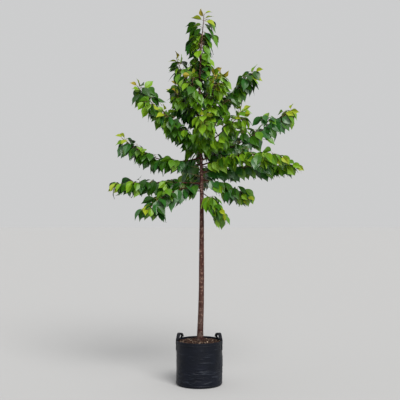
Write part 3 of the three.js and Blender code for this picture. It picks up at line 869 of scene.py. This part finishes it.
def grow_leaf(mass, root, along, turn, length, youth, random, shared):
    """The first place clear of wood and of other leaves, in the mass's own space or shared."""
    for attempt in range(LEAF_TRIES):
        out = outwards(root, along, turn + attempt * SEARCH_TURN * (random() - 0.5))
        if mass.shares_space:
            out = (out * Vector((1, LEADER_DEPTH, 1))).normalized()
        basis = leaf_basis(along, out, youth, random)
        grown = length * (1 - SEARCH_SHRINK * attempt * max(youth, 0.5))
        leaf = Leaf(root, out, basis, grown, youth, random)
        points = coarse_points(leaf)
        if (points.min(0) < mass.low).any() or (points.max(0) > mass.high).any():
            continue
        if in_sky(points) or not clear_of_limbs(points[1:]):
            continue
        if not shared and not in_own_space(points[[4, 6, 10]], mass.index):
            continue
        tree = BVHTree.FromPolygons([tuple(p) for p in points], COARSE_TRIANGLES)
        if grown_leaves.touches(points[5], tree):
            continue
        grown_leaves.add(points[5], tree)
        return leaf
    return None


def grow_leaves(mass, twig):
    line, bare = twig.line, twig.bare
    shared = twig in mass.feet or mass.shares_space
    nodes = twig.nodes or max(2, round((line.length - bare) / mass.spacing))
    leaves = []
    for node in range(nodes + 1):
        random = mass.random(twig.index, node)
        share = lerp(bare / line.length, 0.995, node / nodes)
        to_tip = (1 - share) * line.length
        young_reach = YOUNGER_SHOOTS.get(mass.name, YOUNG_REACH)
        youth = (1 - smooth_step(to_tip, 0, young_reach)) * mass.youth_of(twig)
        grown = LEAF_LENGTH * (0.85 + 0.3 * random())
        length = grown * lerp(1, YOUNG_LEAF_SHARE, youth)
        turn = mass.turn + node * GOLDEN_ANGLE
        place, along = line.point(share), line.along(share)
        leaf = grow_leaf(mass, place, along, turn, length, youth, random, shared)
        if leaf:
            leaf.tone = mass.tone_of(twig, leaf, random)
            leaves.append(leaf)
    return leaves


class Mass:
    """One mass of leaves: a stem, its side twigs and spurs, and the leaves on them all."""

    def __init__(self, name, line, bare, spacing=NODE_SPACING, foot=None):
        self.name, self.index, self.spacing = name, len(masses), spacing
        self.is_spur, self.shares_space = "_spur_" in name, name == "foliage_leader"
        # darker tones on the left are painted shade, brighter ones at the front are painted light
        sides = [tones for side, tones in LIT_AND_SHADED_TONES.items() if side in name]
        self.tones = (sides or [LEAF_TONES])[0]
        self.turn = seeded(SEED + self.index)() * FULL_TURN
        self.stem = Twig(0, line, bare)
        self.feet = [Twig(30, foot, BARE_FOOT)] if foot else []
        low, high = (np.array(corner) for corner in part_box(name))
        if foot:
            low = np.minimum(low, np.array(foot.point(0)) - LEAF_LENGTH)
            high = np.maximum(high, np.array(foot.point(0)) + LEAF_LENGTH)
        self.low = np.maximum(low - SAME_REACH, np.array(CAD_BOX[0]) - TREE_MARGIN)
        self.high = np.minimum(high + SAME_REACH, np.array(CAD_BOX[1]) + TREE_MARGIN)
        stems.add([line.point(i / 14) - UP * LEAF_DROP for i in range(15)], self.index)

    def random(self, twig, place):
        """A stream of numbers for one place on one of its twigs."""
        return seeded(SEED + self.index * 10007 + twig * 211 + place)

    def youth_of(self, twig):
        """Young leaves are at the ends of the main shoots, and few on the side twigs."""
        if twig is self.stem:
            return 0.3 if self.is_spur else 1.0
        if twig in self.feet:
            return 0.0
        if self.name in YOUNGER_SHOOTS:
            return 0.4
        return 0.1 if twig.nodes else 0.3

    def tone_of(self, twig, leaf, random):
        """The leaf's colour, by its spray and its age."""
        spray = seeded(SEED + self.index * 57 + twig.index * 7)
        main, other = self.tones[int(spray() * 4)], self.tones[int(spray() * 5)]
        upright = twig.line.along(1).z > 0.7
        if leaf.youth > 0.8:
            return "coppery" if upright and random() < 0.65 else "yellow"
        if leaf.youth > 0.45:
            return "yellow" if random() < 0.5 else "bright"
        if leaf.youth > 0.15:
            return "bright" if random() < 0.45 else "fresh"
        return main if random() < 0.7 else other

    def grow(self):
        side = [] if self.is_spur or self.shares_space else side_twigs(self)
        carriers = [self.stem, *side, *self.feet]
        spurs = [spur for carrier in carriers for spur in spur_twigs(self, carrier)]
        self.twigs = [*side, *spurs] + (trunk_twigs() if self.shares_space else [])
        for twig in self.twigs:
            places = [twig.line.point(share) for share in (0, 0.5, 1)]
            limbs.add(places, self.index, twig.radius_at(0.5))

    def leaf_out(self):
        twigs = [self.stem, *self.twigs, *self.feet]
        self.leaves = [leaf for twig in twigs for leaf in grow_leaves(self, twig)]


def bough_radius(radius, line):
    """The radius at a share of a line, with a collar at the trunk."""

    def radius_at(share):
        collar = BOUGH_COLLAR * math.exp(-share * line.length / COLLAR_LENGTH)
        return lerp(radius, STEM_TIP_RADIUS, share) * (1 + collar)

    return radius_at


def leader_radius(share):
    return lerp(trunk_radius(TRUNK_TOP), STEM_TIP_RADIUS, share)


masses, wood = [], []
for name, (height, azimuth, reach, rise, bow, radius, bare) in BOUGHS.items():
    sway = reach * BOUGH_WANDER * (1 if len(masses) % 2 else -1)
    line = cut_back(bough_line(trunk_point(height), azimuth, reach, rise, bow, sway))
    wood.append((line, bough_radius(radius, line)))
    foot = Line([line.point(bare / line.length * i / 10) for i in range(11)])
    masses.append(Mass(f"foliage_{name}", line.beyond(bare), STEM_BARE, foot=foot))
for name, (height, azimuth, reach, rise, bow, bare) in SHOOTS.items():
    line = bough_line(trunk_point(height), azimuth, reach, rise, bow)
    wood.append((line, bough_radius(SHOOT_RADIUS, line)))
    masses.append(Mass(f"foliage_{name}", line, bare))
for name, (height, azimuth, reach, rise) in SPURS.items():
    line = bough_line(trunk_point(height), azimuth, reach, rise, hug=SPUR_HUG)
    wood.append((line, bough_radius(SPUR_RADIUS, line)))
    masses.append(Mass(f"foliage_spur_{name}", line, SPUR_BARE))
leader = Line([trunk_point(lerp(TRUNK_TOP - 0.01, TREE_TOP, i / 20)) for i in range(21)])
wood.append((leader, leader_radius))
leafy = Line([trunk_point(lerp(LEAFY_TRUNK_FROM, TRUNK_TOP, i / 40)) for i in range(41)])
masses.append(Mass("foliage_leader", leader, LEADER_BARE, LEAFY_TRUNK_SPACING, leafy))

trunk_heights = np.linspace(GROUND_HEIGHT, TRUNK_TOP, 40)
for low, high in zip(trunk_heights, trunk_heights[1:]):
    limbs.add([trunk_point(low), trunk_point(high)], -1, trunk_radius(low))
for line, radius_at in wood:
    for i in range(12):
        ends = [line.point(i / 12), line.point((i + 1) / 12)]
        limbs.add(ends, -1, radius_at((i + 0.5) / 12))
for reach in OPEN_REACH:
    heights = np.linspace(*OPEN_LEADER, 12)
    limbs.add([trunk_point(h) + Vector((0, -reach, 0)) for h in heights], -1, OPEN_RADIUS)
for mass in masses:
    mass.grow()
for mass in reversed(masses):
    mass.leaf_out()
leaves = [leaf for mass in masses for leaf in mass.leaves]
FOLIAGE_NODES = [mass.name for mass in masses]

# ---- leaves


def leaf_material(name, colour, roughness, gloss):
    shade = Shader(name, roughness, gloss, colour)
    shade.roughen(160, roughness - 0.08, roughness + 0.1)
    shade.bump(shade.noise(900, detail=2), 0.0004, 0.35)
    return shade.material


LEAF_COLOURS = {  # colour, roughness, specular level
    "deep": (srgb(30, 67, 6), 0.33, 0.42),
    "forest": (srgb(46, 88, 9), 0.35, 0.42),
    "blue": (srgb(36, 83, 25), 0.31, 0.50),
    "fresh": (srgb(73, 115, 12), 0.37, 0.42),
    "bright": (srgb(102, 140, 18), 0.42, 0.40),
    "yellow": (srgb(130, 145, 24), 0.5, 0.25),
    "coppery": (srgb(138, 126, 36), 0.5, 0.25),
}

for tone, (colour, roughness, gloss) in LEAF_COLOURS.items():
    parts = Parts()
    for leaf in leaves:
        if leaf.tone == tone:
            parts.add(fine_points(leaf), FINE_FACES)
    material = leaf_material(f"leaf_{tone}", colour, roughness, gloss)
    parts.piece(f"leaves_{tone}", [material], "leaf", FOLIAGE_NODES)

# ---- wood


def bark_material():
    """Red-brown bark with pale lenticels, weathered to grey towards the ground."""
    dark, light, grey = srgb(42, 18, 15), srgb(77, 39, 30), srgb(86, 75, 68)
    shade = Shader("bark", 0.6, 0.15)
    fresh = shade.ramp(shade.noise(45, shade.where((1, 1, 0.35))), 0.3, dark, 0.72, light)
    patches = shade.ramp(shade.noise(28), 0.4, dark, 0.65, grey)
    aged = shade.mix(shade.fact("weathered"), fresh, patches)
    shade.set("Base Color", shade.mix(shade.fact("lenticel"), aged, srgb(166, 136, 120)))
    shade.roughen(300, 0.45, 0.75)
    shade.bump(shade.noise(700, shade.where((1, 1, 0.6)), detail=6), 0.0008, 0.5)
    return shade.material


BARK = bark_material()
parts = Parts()
for number, (line, radius_at) in enumerate(wood):
    parts.add(*tube(line, radius_at, BOUGH_SIDES, BARK_RING, 0.00015, number))
parts.piece("boughs", [BARK], "bark", [f"bough_{name}" for name in BOUGHS])

TWIG_BARK = Shader("twig_bark", 0.55)
TWIG_BARK.mottle(TWIG_BARK.noise(60), 0.3, srgb(92, 66, 46), 0.7, srgb(120, 104, 62))
TWIG_BARK.bump(TWIG_BARK.noise(900), 0.0004, 0.4)


def add_bud(parts, line, radius):
    """A pointed bud on the end of a twig."""

    def swollen(share):
        return radius * np.interp(share * 4, range(5), BUD_SWELL)

    end, along = line.point(1), line.along(1)
    bud = Line([end + along * BUD_LENGTH * (i / 4 - 0.05) for i in range(5)])
    parts.add(*tube(bud, swollen, TWIG_SIDES, 0.0018))


parts = Parts()
for mass in masses:
    add_bud(parts, mass.stem.line, STEM_TIP_RADIUS)
    for twig in mass.twigs:
        parts.add(*tube(twig.line, twig.radius_at, TWIG_SIDES, 0.012, 0.0001, twig.index))
        add_bud(parts, twig.line, twig.tip_radius)
parts.piece("twigs", [TWIG_BARK.material], "bark", FOLIAGE_NODES)


def stalk_line(leaf):
    """An arc from the twig to the blade, bowed upwards."""
    root, base = leaf.root, leaf.base()
    knee = root.lerp(base, 0.45) + (leaf.out + UP * 0.5) * leaf.stalk * 0.18
    shares = (0, 0.25, 0.5, 0.75, 1)
    return Line([root * (1 - t) ** 2 + knee * 2 * t * (1 - t) + base * t * t for t in shares])


def stalk_radius(share):
    return STALK_RADIUS * (1.3 - 0.5 * share)


STALK = Shader("leaf_stalk", 0.5, colour=srgb(128, 112, 62))
STALK.roughen(300, 0.4, 0.6)
parts = Parts()
for leaf in leaves:
    parts.add(*tube(stalk_line(leaf), stalk_radius, 4, 0.007))
parts.piece("leaf_stalks", [STALK.material], "leaf", FOLIAGE_NODES)


def trunk_mesh():
    """The trunk with its flare, bough collars, lenticels and fine relief."""
    rings = int((TRUNK_TOP - GROUND_HEIGHT) / BARK_RING) + 1
    height = np.linspace(GROUND_HEIGHT + 0.0003, TRUNK_TOP, rings)[:, None]
    turn = around(TRUNK_SIDES)[None]
    rng = np.random.default_rng(7)
    lobes = 1 + 0.4 * np.cos(FLARE_LOBES * turn)
    flare = FLARE_RADIUS * lobes * np.exp(-(height - GROUND_HEIGHT) / FLARE_HEIGHT)
    radius = trunk_radius(height) + flare

    def bumps(angles, heights, widths, sizes):
        """Soft bumps round and up the trunk, in metres."""
        field = np.zeros((rings, TRUNK_SIDES))
        for angle, level, width, size in zip(angles, heights, widths, sizes):
            near = np.abs(height[:, 0] - level) < 4 * size
            arc = turned(turn - angle) * radius[near]
            rise = (height[near] - level) / size
            field[near] = np.maximum(field[near], np.exp(-((arc / width) ** 2) - rise**2))
        return field

    lenticels = bumps(
        rng.uniform(0, FULL_TURN, LENTICELS),
        rng.uniform(GROUND_HEIGHT, TRUNK_TOP, LENTICELS),
        rng.uniform(0.002, 0.008, LENTICELS),
        rng.uniform(0.002, 0.0034, LENTICELS),
    )
    limbs_at = [(row[1], row[0]) for table in (BOUGHS, SHOOTS, SPURS) for row in table.values()]
    azimuths, levels = zip(*limbs_at)
    count = len(limbs_at)
    collars = bumps(np.radians(azimuths), levels, [0.011] * count, [0.014] * count)
    angles, levels = rng.uniform(0, FULL_TURN, SCARS), rng.uniform(*SCAR_HEIGHTS, SCARS)
    scars = bumps(angles, levels, [0.010] * SCARS, [0.007] * SCARS)
    ripple = sum(
        rng.uniform(0.3, 1) * np.sin(k * turn + rng.uniform(0, 6) + height * rng.uniform(3, 30))
        for k in (2, 3, 5, 7)
    )
    relief = 0.00045 * lenticels + 0.0035 * collars + 0.0016 * scars + 0.00025 * ripple
    relief = relief + rng.normal(0, 0.00012, relief.shape)
    fade = np.clip((TRUNK_TOP - height) / 0.02, 0, 1)
    points = ring_points(turn, radius + relief * fade, height)
    points[..., :2] += np.array([trunk_point(h)[:2] for h in height[:, 0]])[:, None]
    pale = np.clip(lenticels * 1.2 - 0.3, 0, 1) + 0.25 * scars
    weathered = 0.12 + np.exp(-(height - GROUND_HEIGHT) / 0.3) * 0.8 + 0 * turn
    facts = {"lenticel": np.clip(pale, 0, 1).ravel(), "weathered": weathered.ravel()}
    return points.reshape(-1, 3), ring_faces(rings, TRUNK_SIDES), facts


points, faces, facts = trunk_mesh()
mesh_piece("trunk_bark", points, faces, [BARK], replaces=["trunk"], facts=facts)

# ---- planter bag


def bag_radius(height):
    radii = (BAG_LOW_RADIUS, BAG_MID_RADIUS, BAG_RIM_RADIUS)
    return float(np.interp(height, (FOOT_RISE, BAG_HEIGHT / 2, HEM_FOOT), radii))


def bag_outline():
    """Radius, height and the creases' share, out from the underside's middle, up the outside,
    over the rim and down the inside."""
    rows = [(BAG_FOOT_RADIUS * share, 0.0, 0.0) for share in (0.02, 0.3, 0.6, 0.85, 1.0)]
    for step in range(1, 8):
        turn = math.pi / 2 * step / 8
        radius = BAG_FOOT_RADIUS + FOOT_OUT * math.sin(turn)
        rows.append((radius, FOOT_RISE * (1 - math.cos(turn)), step / 8))
    for height in np.linspace(FOOT_RISE + 0.001, HEM_FOOT - 0.001, BAG_ROWS):
        piping = PIPING_SIZE * math.exp(-(((height - PIPING_HEIGHT) / PIPING_SIZE) ** 2))
        from_groove = (height - PIPING_HEIGHT - GROOVE_RISE) / GROOVE_WIDTH
        groove = GROOVE_DEPTH * math.exp(-(from_groove**2))
        rows.append((bag_radius(height) + piping - groove, height, 1.0))
    rows.append((BAG_RIM_RADIUS - 0.0006, HEM_FOOT - 0.0004, 0.6))
    rows.append((BAG_RIM_RADIUS + 0.0016, HEM_FOOT + 0.0002, 0.6))
    edge = BAG_HEIGHT - HEM_ROLL
    for height in np.linspace(HEM_FOOT + 0.0015, edge, 14):
        dip = HEM_DIP if abs(height - HEM_STITCH) < 0.002 else 0
        rows.append((BAG_HEM_RADIUS + HEM_SWELL - dip, height, 0.5))
    for step in range(1, 6):
        turn = math.pi * step / 6
        radius = BAG_INSIDE + HEM_ROLL * (1 + math.cos(turn))
        rows.append((radius, edge + HEM_ROLL * math.sin(turn), 0.4))
    rows += [(BAG_INSIDE, height, 0.5) for height in np.linspace(edge, 0.345, 14)]
    rows += [(bag_radius(height) - BAG_WALL, height, 1.0) for height in np.linspace(0.33, 0.02, 12)]
    return np.array([*rows, (BAG_FOOT_RADIUS - 0.004, 0.004, 0.0), (0.004, 0.003, 0.0)])


def bag_relief(turn, height):
    """How far the bag's cloth stands out of its plain shape: its bulges, and its creases."""
    rng = np.random.default_rng(11)
    swell = np.sin(math.pi * np.clip(height / BAG_HEIGHT, 0, 1))
    bulge = 0.0016 * np.sin(3 * turn + 1) + 0.0012 * np.sin(5 * turn + 9 * height)
    bulge = bulge * swell + 0.0009 * np.sin(8 * turn - 22 * height) * swell
    field = np.zeros_like(bulge)
    for _ in range(CREASES):
        angle = rng.uniform(0, FULL_TURN)
        level = rng.choice([rng.uniform(0.03, 0.16), rng.uniform(0.05, 0.34)], p=[0.55, 0.45])
        half = rng.uniform(0.015, 0.07)
        slope = rng.normal(0, 0.06 + 0.35 * max(0, 0.10 - level) / 0.10)
        bow = rng.normal(0, 1.2)
        width = rng.uniform(0.0025, 0.0055)
        size = rng.choice([-1, 1], p=[0.4, 0.6]) * rng.uniform(0.0006, 0.0032)
        arc = turned(turn - angle) * BAG_MID_RADIUS
        taper = np.clip(1 - (arc / half) ** 2, 0, 1) ** 1.5
        away = height - level - slope * arc - bow * arc**2
        field = field + size * taper * np.exp(-np.abs(away) / width)
    calm = np.ones_like(field)
    for leg in LEG_AZIMUTHS:
        arc = np.abs(turned(turn - math.radians(leg))) * BAG_MID_RADIUS
        beside = np.clip((arc - STRAP_WIDTH / 2 - 0.001) / 0.02, 0, 1)
        below = np.clip((CALM_ABOVE - height) / 0.02, 0, 1)
        calm = np.minimum(calm, np.maximum(beside, below))
    return bulge * calm, field * calm


def weave_height(shade, tape):
    """Height of a plain weave of flat tapes of that width."""
    separate = shade.node("ShaderNodeSeparateXYZ", {"Vector": shade.where(source="UV")}).outputs
    waves = [shade.math("SINE", shade.math("MULTIPLY", s, math.pi / tape)) for s in separate[:2]]
    over = shade.math("GREATER_THAN", shade.math("MULTIPLY", *waves), 0.0)
    across, up = (shade.math("ABSOLUTE", wave) for wave in waves)
    under = shade.math("SUBTRACT", 1.0, over)
    tops = shade.math("MULTIPLY", across, over), shade.math("MULTIPLY", up, under)
    return shade.math("ADD", *tops)


def cloth_material():
    """Black woven plastic with a painted highlight along its creases' ridges, and a little dust."""
    shade = Shader("woven_plastic", 0.4, 0.12)
    plain = shade.ramp(shade.noise(9, detail=6), 0.35, srgb(9, 12, 19), 0.7, srgb(15, 18, 28))
    dust = shade.math("MULTIPLY", shade.noise(60), 0.12)
    # painted highlight along the creases' ridges, broken into streaks, plus a little real dust,
    # both mixed towards a pale blue-grey
    sheen_streaks = shade.ranged(shade.noise(110, shade.where((1, 1, 3)), detail=8), -0.6, 1.6)
    crease_sheen_and_dust = shade.math("ADD", shade.math("MULTIPLY", shade.fact("ridge"), sheen_streaks), dust)
    shade.set("Base Color", shade.mix(crease_sheen_and_dust, plain, srgb(38, 43, 52)))
    shade.roughen(40, 0.28, 0.5)
    shade.bump(weave_height(shade, TAPE), 0.0004, 0.6)
    return shade.material


outline = bag_outline()
radius, height, creased = outline.T[..., None]
turn = around(BAG_SIDES)[None]
bulge, creases = (relief * creased for relief in bag_relief(turn, height))
steps = np.hypot(np.diff(outline[:, 0]), np.diff(outline[:, 1]))
run = np.concatenate([[0], np.cumsum(steps)])[:, None]
uv = np.stack(np.broadcast_arrays(turn * BAG_MID_RADIUS, run), 2)
mesh_piece(
    "planter_bag_cloth",
    ring_points(turn, radius + bulge + creases, height).reshape(-1, 3),
    ring_faces(len(outline), BAG_SIDES),
    [cloth_material()],
    replaces=["planter_bag"],
    uv=uv.reshape(-1, 2),
    # how high up its crease each point stands, for the painted highlight on the ridges
    facts={"ridge": np.clip(creases / FULL_SHEEN_CREASE - 0.25, 0, 1).ravel()},
)

# ---- handles


def strap_lay(t):
    """Place from -1 (one leg) to 1 (the other), and height above the rim."""
    side, t = (-1.0, t) if t < 0.5 else (1.0, 1 - t)
    if t < STRAP_LEG_SHARE:
        return side, -STRAP_SEWN_LENGTH * (1 - t / STRAP_LEG_SHARE)
    turn = math.pi * (t - STRAP_LEG_SHARE) / (1 - 2 * STRAP_LEG_SHARE)
    return side * math.cos(turn), HANDLE_RISE * STRAP_SLUMP * math.sin(turn)


def strap_point(azimuth, t):
    across, above = strap_lay(t)
    lean = HANDLE_LEAN * smooth_step(above, 0, HANDLE_RISE)
    height = BAG_HEIGHT + above
    wall = lerp(bag_radius(height), BAG_HEM_RADIUS, smooth_step(above, -0.040, -0.028))
    radius = wall + STRAP_THICKNESS / 2 + 0.0003 - lean
    out = heading(azimuth + across * HANDLE_HALF_ANGLE)
    return out * radius + UP * height, out, above


def strap_section():
    """The flat section's points: the lower half's, and the upper half's opposite them."""
    edge = [(-1, -0.5), (-0.96, -1), (-0.5, -1), (0, -1), (0.5, -1), (0.96, -1), (1, -0.5)]
    points = [*edge, *((-x, -y) for x, y in edge)]
    return [(x * STRAP_WIDTH / 2, y * STRAP_THICKNESS / 2) for x, y in points]


def strap_mesh(azimuth):
    """A flat strap along the legs that turns edge-on to the bag over the loop."""
    section = strap_section()
    edge_on = (STRAP_WIDTH - STRAP_THICKNESS) / 2
    points, uv, run, before = [], [], 0.0, None
    for ring in range(STRAP_RINGS + 1):
        t = ring / STRAP_RINGS
        centre, out, above = strap_point(azimuth, t)
        behind, ahead = (strap_point(azimuth, s)[0] for s in (max(t - 0.004, 0), min(t + 0.004, 1)))
        along = (ahead - behind).normalized()
        turn = math.pi / 2 * smooth_step(above, 0.0, HANDLE_RISE * 0.25)
        folded = 1 + STRAP_FOLD * smooth_step(above, 0.006, HANDLE_RISE * 0.8)
        across = along.cross(out).normalized()
        width = (across * math.cos(turn) + out * math.sin(turn)).normalized()
        face = width.cross(along).normalized()
        centre = centre - out * edge_on * math.sin(turn)
        run += (centre - before).length if before else 0
        before = centre
        for x, y in section:
            points.append(centre + width * x + face * y * folded)
            uv.append((x, run))
    return points, ring_faces(STRAP_RINGS + 1, len(section)), uv


WEBBING = Shader("webbing", 0.7, 0.15)
WEBBING.mottle(WEBBING.noise(60), 0.35, srgb(12, 13, 17), 0.7, srgb(27, 29, 35))
WEBBING.bump(weave_height(WEBBING, WEBBING_TAPE), 0.0005, 0.7)
for name, azimuth in HANDLE_AZIMUTHS.items():
    points, faces, uv = strap_mesh(azimuth)
    mesh_piece(f"{name}_webbing", points, faces, [WEBBING.material], [name], uv=uv)

# ---- stitches


def thread_radius(share):
    return THREAD_RADIUS * (0.7 + 0.6 * math.sin(math.pi * share))


def add_stitch(parts, first, second):
    """One stitch of thick thread between two points, rising a little in its middle."""
    middle = (first + second) / 2
    out = Vector((middle.x, middle.y, 0)).normalized()
    bow = Line([first, middle + out * THREAD_RADIUS, second])
    parts.add(*tube(bow, thread_radius, 6, 0.0012))


def sewn_point(azimuth, side, across, up):
    """A point of a leg's stitched box, on the strap's outer face."""
    share = lerp(*SEWN_BOX, up)
    centre, out, _ = strap_point(azimuth, share if side < 0 else 1 - share)
    on_face = centre + out * (STRAP_THICKNESS / 2 + 0.0002)
    return on_face + UP.cross(out) * across * SEWN_HALF_WIDTH


def hem_point(azimuth):
    return heading(azimuth) * (BAG_HEM_RADIUS + 0.0012) + UP * HEM_STITCH


thread_parts = Parts()
count = int(FULL_TURN * BAG_HEM_RADIUS / HEM_PITCH)
for i in range(count):
    first, middle, last = (360 * (i + STITCHED * part) / count for part in (0, 0.5, 1))
    if all(abs((middle - leg + 180) % 360 - 180) >= BESIDE_LEG for leg in LEG_AZIMUTHS):
        add_stitch(thread_parts, hem_point(first), hem_point(last))
for azimuth in HANDLE_AZIMUTHS.values():
    for side in (-1, 1):
        for start, end, count in SEAMS:
            for k in range(count):
                shares = [(k + part) / count for part in (0.1, 0.85)]
                ends = [[lerp(a, b, share) for a, b in zip(start, end)] for share in shares]
                add_stitch(thread_parts, *(sewn_point(azimuth, side, *place) for place in ends))
THREAD = Shader("thread", 0.55, colour=srgb(46, 49, 56))
THREAD.roughen(700, 0.4, 0.7)
thread_parts.piece("stitches", [THREAD.material], "webbing")

# ---- compost


def mound_height(radius):
    places = (GROUND_SEAT_RADIUS, BAG_INSIDE * 0.6, BAG_INSIDE)
    return np.interp(radius, places, (GROUND_HEIGHT, GROUND_HEIGHT - 0.005, COMPOST_EDGE_HEIGHT))


def compost_mesh():
    """The rough mound, and the filling's plain side and underside inside the bag."""
    edge = bag_radius(0.35) - BAG_WALL - 0.0012
    turn = around(COMPOST_SIDES)[None]
    radius = np.linspace(0.004, edge, COMPOST_ROWS)[:, None]
    rng = np.random.default_rng(3)
    bumps = rng.normal(0, 0.0016, (COMPOST_ROWS, COMPOST_SIDES))
    bumps += 0.002 * np.sin(radius * 60 + 3 * turn) * np.sin(radius * 37 - 5 * turn + 1)
    near = np.clip((radius - 0.02) / 0.02, 0, 1)
    shells = [ring_points(turn, radius, mound_height(radius) + (bumps - 0.0025) * near)]
    for level, inset in COMPOST_BELOW:
        shells.append(ring_points(turn, bag_radius(level) - BAG_WALL - COMPOST_GAP - inset, level))
    points = np.concatenate(shells)
    faces = [face[::-1] for face in ring_faces(len(points), COMPOST_SIDES)]
    return points.reshape(-1, 3), faces


SOIL = Shader("compost", 0.9, 0.1)
SOIL.mottle(SOIL.noise(120), 0.3, srgb(18, 13, 10), 0.7, srgb(42, 30, 24))
SOIL.bump(SOIL.noise(400, detail=6), 0.003, 0.9)
points, faces = compost_mesh()
mesh_piece("compost_surface", points, faces, [SOIL.material], replaces=["root_ball"])


def chip_material(name, dark, light):
    shade = Shader(f"bark_chip_{name}", 0.85, 0.15)
    shade.mottle(shade.noise(260, shade.where((1, 0.3, 1))), 0.3, dark, 0.7, light)
    shade.bump(shade.noise(500), 0.001, 0.6)
    return shade.material


CHIP_MATERIALS = [
    chip_material("dark", srgb(24, 17, 14), srgb(40, 29, 23)),
    chip_material("brown", srgb(44, 32, 25), srgb(70, 50, 39)),
    chip_material("red", srgb(58, 37, 29), srgb(84, 54, 41)),
    chip_material("pale", srgb(138, 118, 100), srgb(198, 176, 154)),
]
CHIP_SHARES = (0.40, 0.34, 0.21, 0.05)
PALE = 3

rng = np.random.default_rng(5)
parts = Parts()
corners = np.array([(x, y, z) for z in (-1, 1) for x, y in ((-1, -1), (1, -1), (1, 1), (-1, 1))])
box = [[0, 3, 2, 1], [4, 5, 6, 7], [0, 1, 5, 4], [1, 2, 6, 5], [2, 3, 7, 6], [3, 0, 4, 7]]
for number in range(CHIPS):
    washed_up = number >= CHIPS - PALE_CHIPS
    radius = (BAG_INSIDE - 0.006) * math.sqrt(rng.uniform(0.015, 1))
    angle = rng.uniform(0, FULL_TURN)
    if washed_up:
        radius, angle = rng.uniform(0.172, 0.184), math.radians(rng.uniform(235, 305))
    size = np.array([rng.uniform(*limits) for limits in CHIP_SIZES])
    shape = corners * size * rng.uniform(0.65, 1.0, corners.shape)
    spin = Matrix.Rotation(rng.uniform(0, 6.3), 3, "Z")
    spin = spin @ Matrix.Rotation(rng.normal(0, 0.35), 3, "X")
    shape = shape @ np.array(spin @ Matrix.Rotation(rng.normal(0, 0.3), 3, "Y")).T
    height = mound_height(radius) + rng.uniform(-0.001, 0.0022)
    centre = np.array([radius * math.cos(angle), radius * math.sin(angle), height])
    if radius > EDGE_CHIPS_FROM:
        shape *= 0.6
    kind = PALE if washed_up else int(rng.choice(4, p=CHIP_SHARES))
    parts.add(centre + shape, box, kind)
parts.piece("compost_chips", CHIP_MATERIALS, "compost")

# ---- stage

floor_mesh = bpy.data.meshes.new("floor")
floor_mesh.from_pydata([(-40, -40, 0), (40, -40, 0), (40, 40, 0), (-40, 40, 0)], [], [(0, 1, 2, 3)])
floor_mesh.materials.append(Shader("floor", 0.9, 0.1, (0.447, 0.447, 0.447, 1)).material)
linked("floor", floor_mesh)

world = bpy.data.worlds.new("studio")
bpy.context.scene.world = world
world.use_nodes = True
backdrop = world.node_tree.nodes["Background"]
backdrop.inputs["Color"].default_value = (0.98, 0.985, 0.99, 1)
backdrop.inputs["Strength"].default_value = 0.62


def soft_sun(name, azimuth, elevation, spread, strength, colour=(1, 1, 1)):
    """A broad light from that side and height, in degrees."""
    light = bpy.data.lights.new(name, "SUN")
    light.angle = math.radians(spread)
    light.energy = strength
    light.color = colour
    towards = heading(azimuth) * math.cos(math.radians(elevation))
    towards.z = math.sin(math.radians(elevation))
    linked(name, light).rotation_euler = towards.to_track_quat("Z", "Y").to_euler()


soft_sun("key", 292, 44, 36, 3.0, (1.0, 0.985, 0.96))
soft_sun("front_fill", 285, 12, 60, 1.3)

camera_data = bpy.data.cameras.new("camera")
camera_data.lens = 72.45
camera_data.sensor_width = 36
camera = linked("camera", camera_data)
camera.location = CAMERA
camera.rotation_euler = (math.pi / 2, 0, 0)
bpy.context.scene.camera = camera
bpy.context.scene.view_settings.view_transform = "Standard"
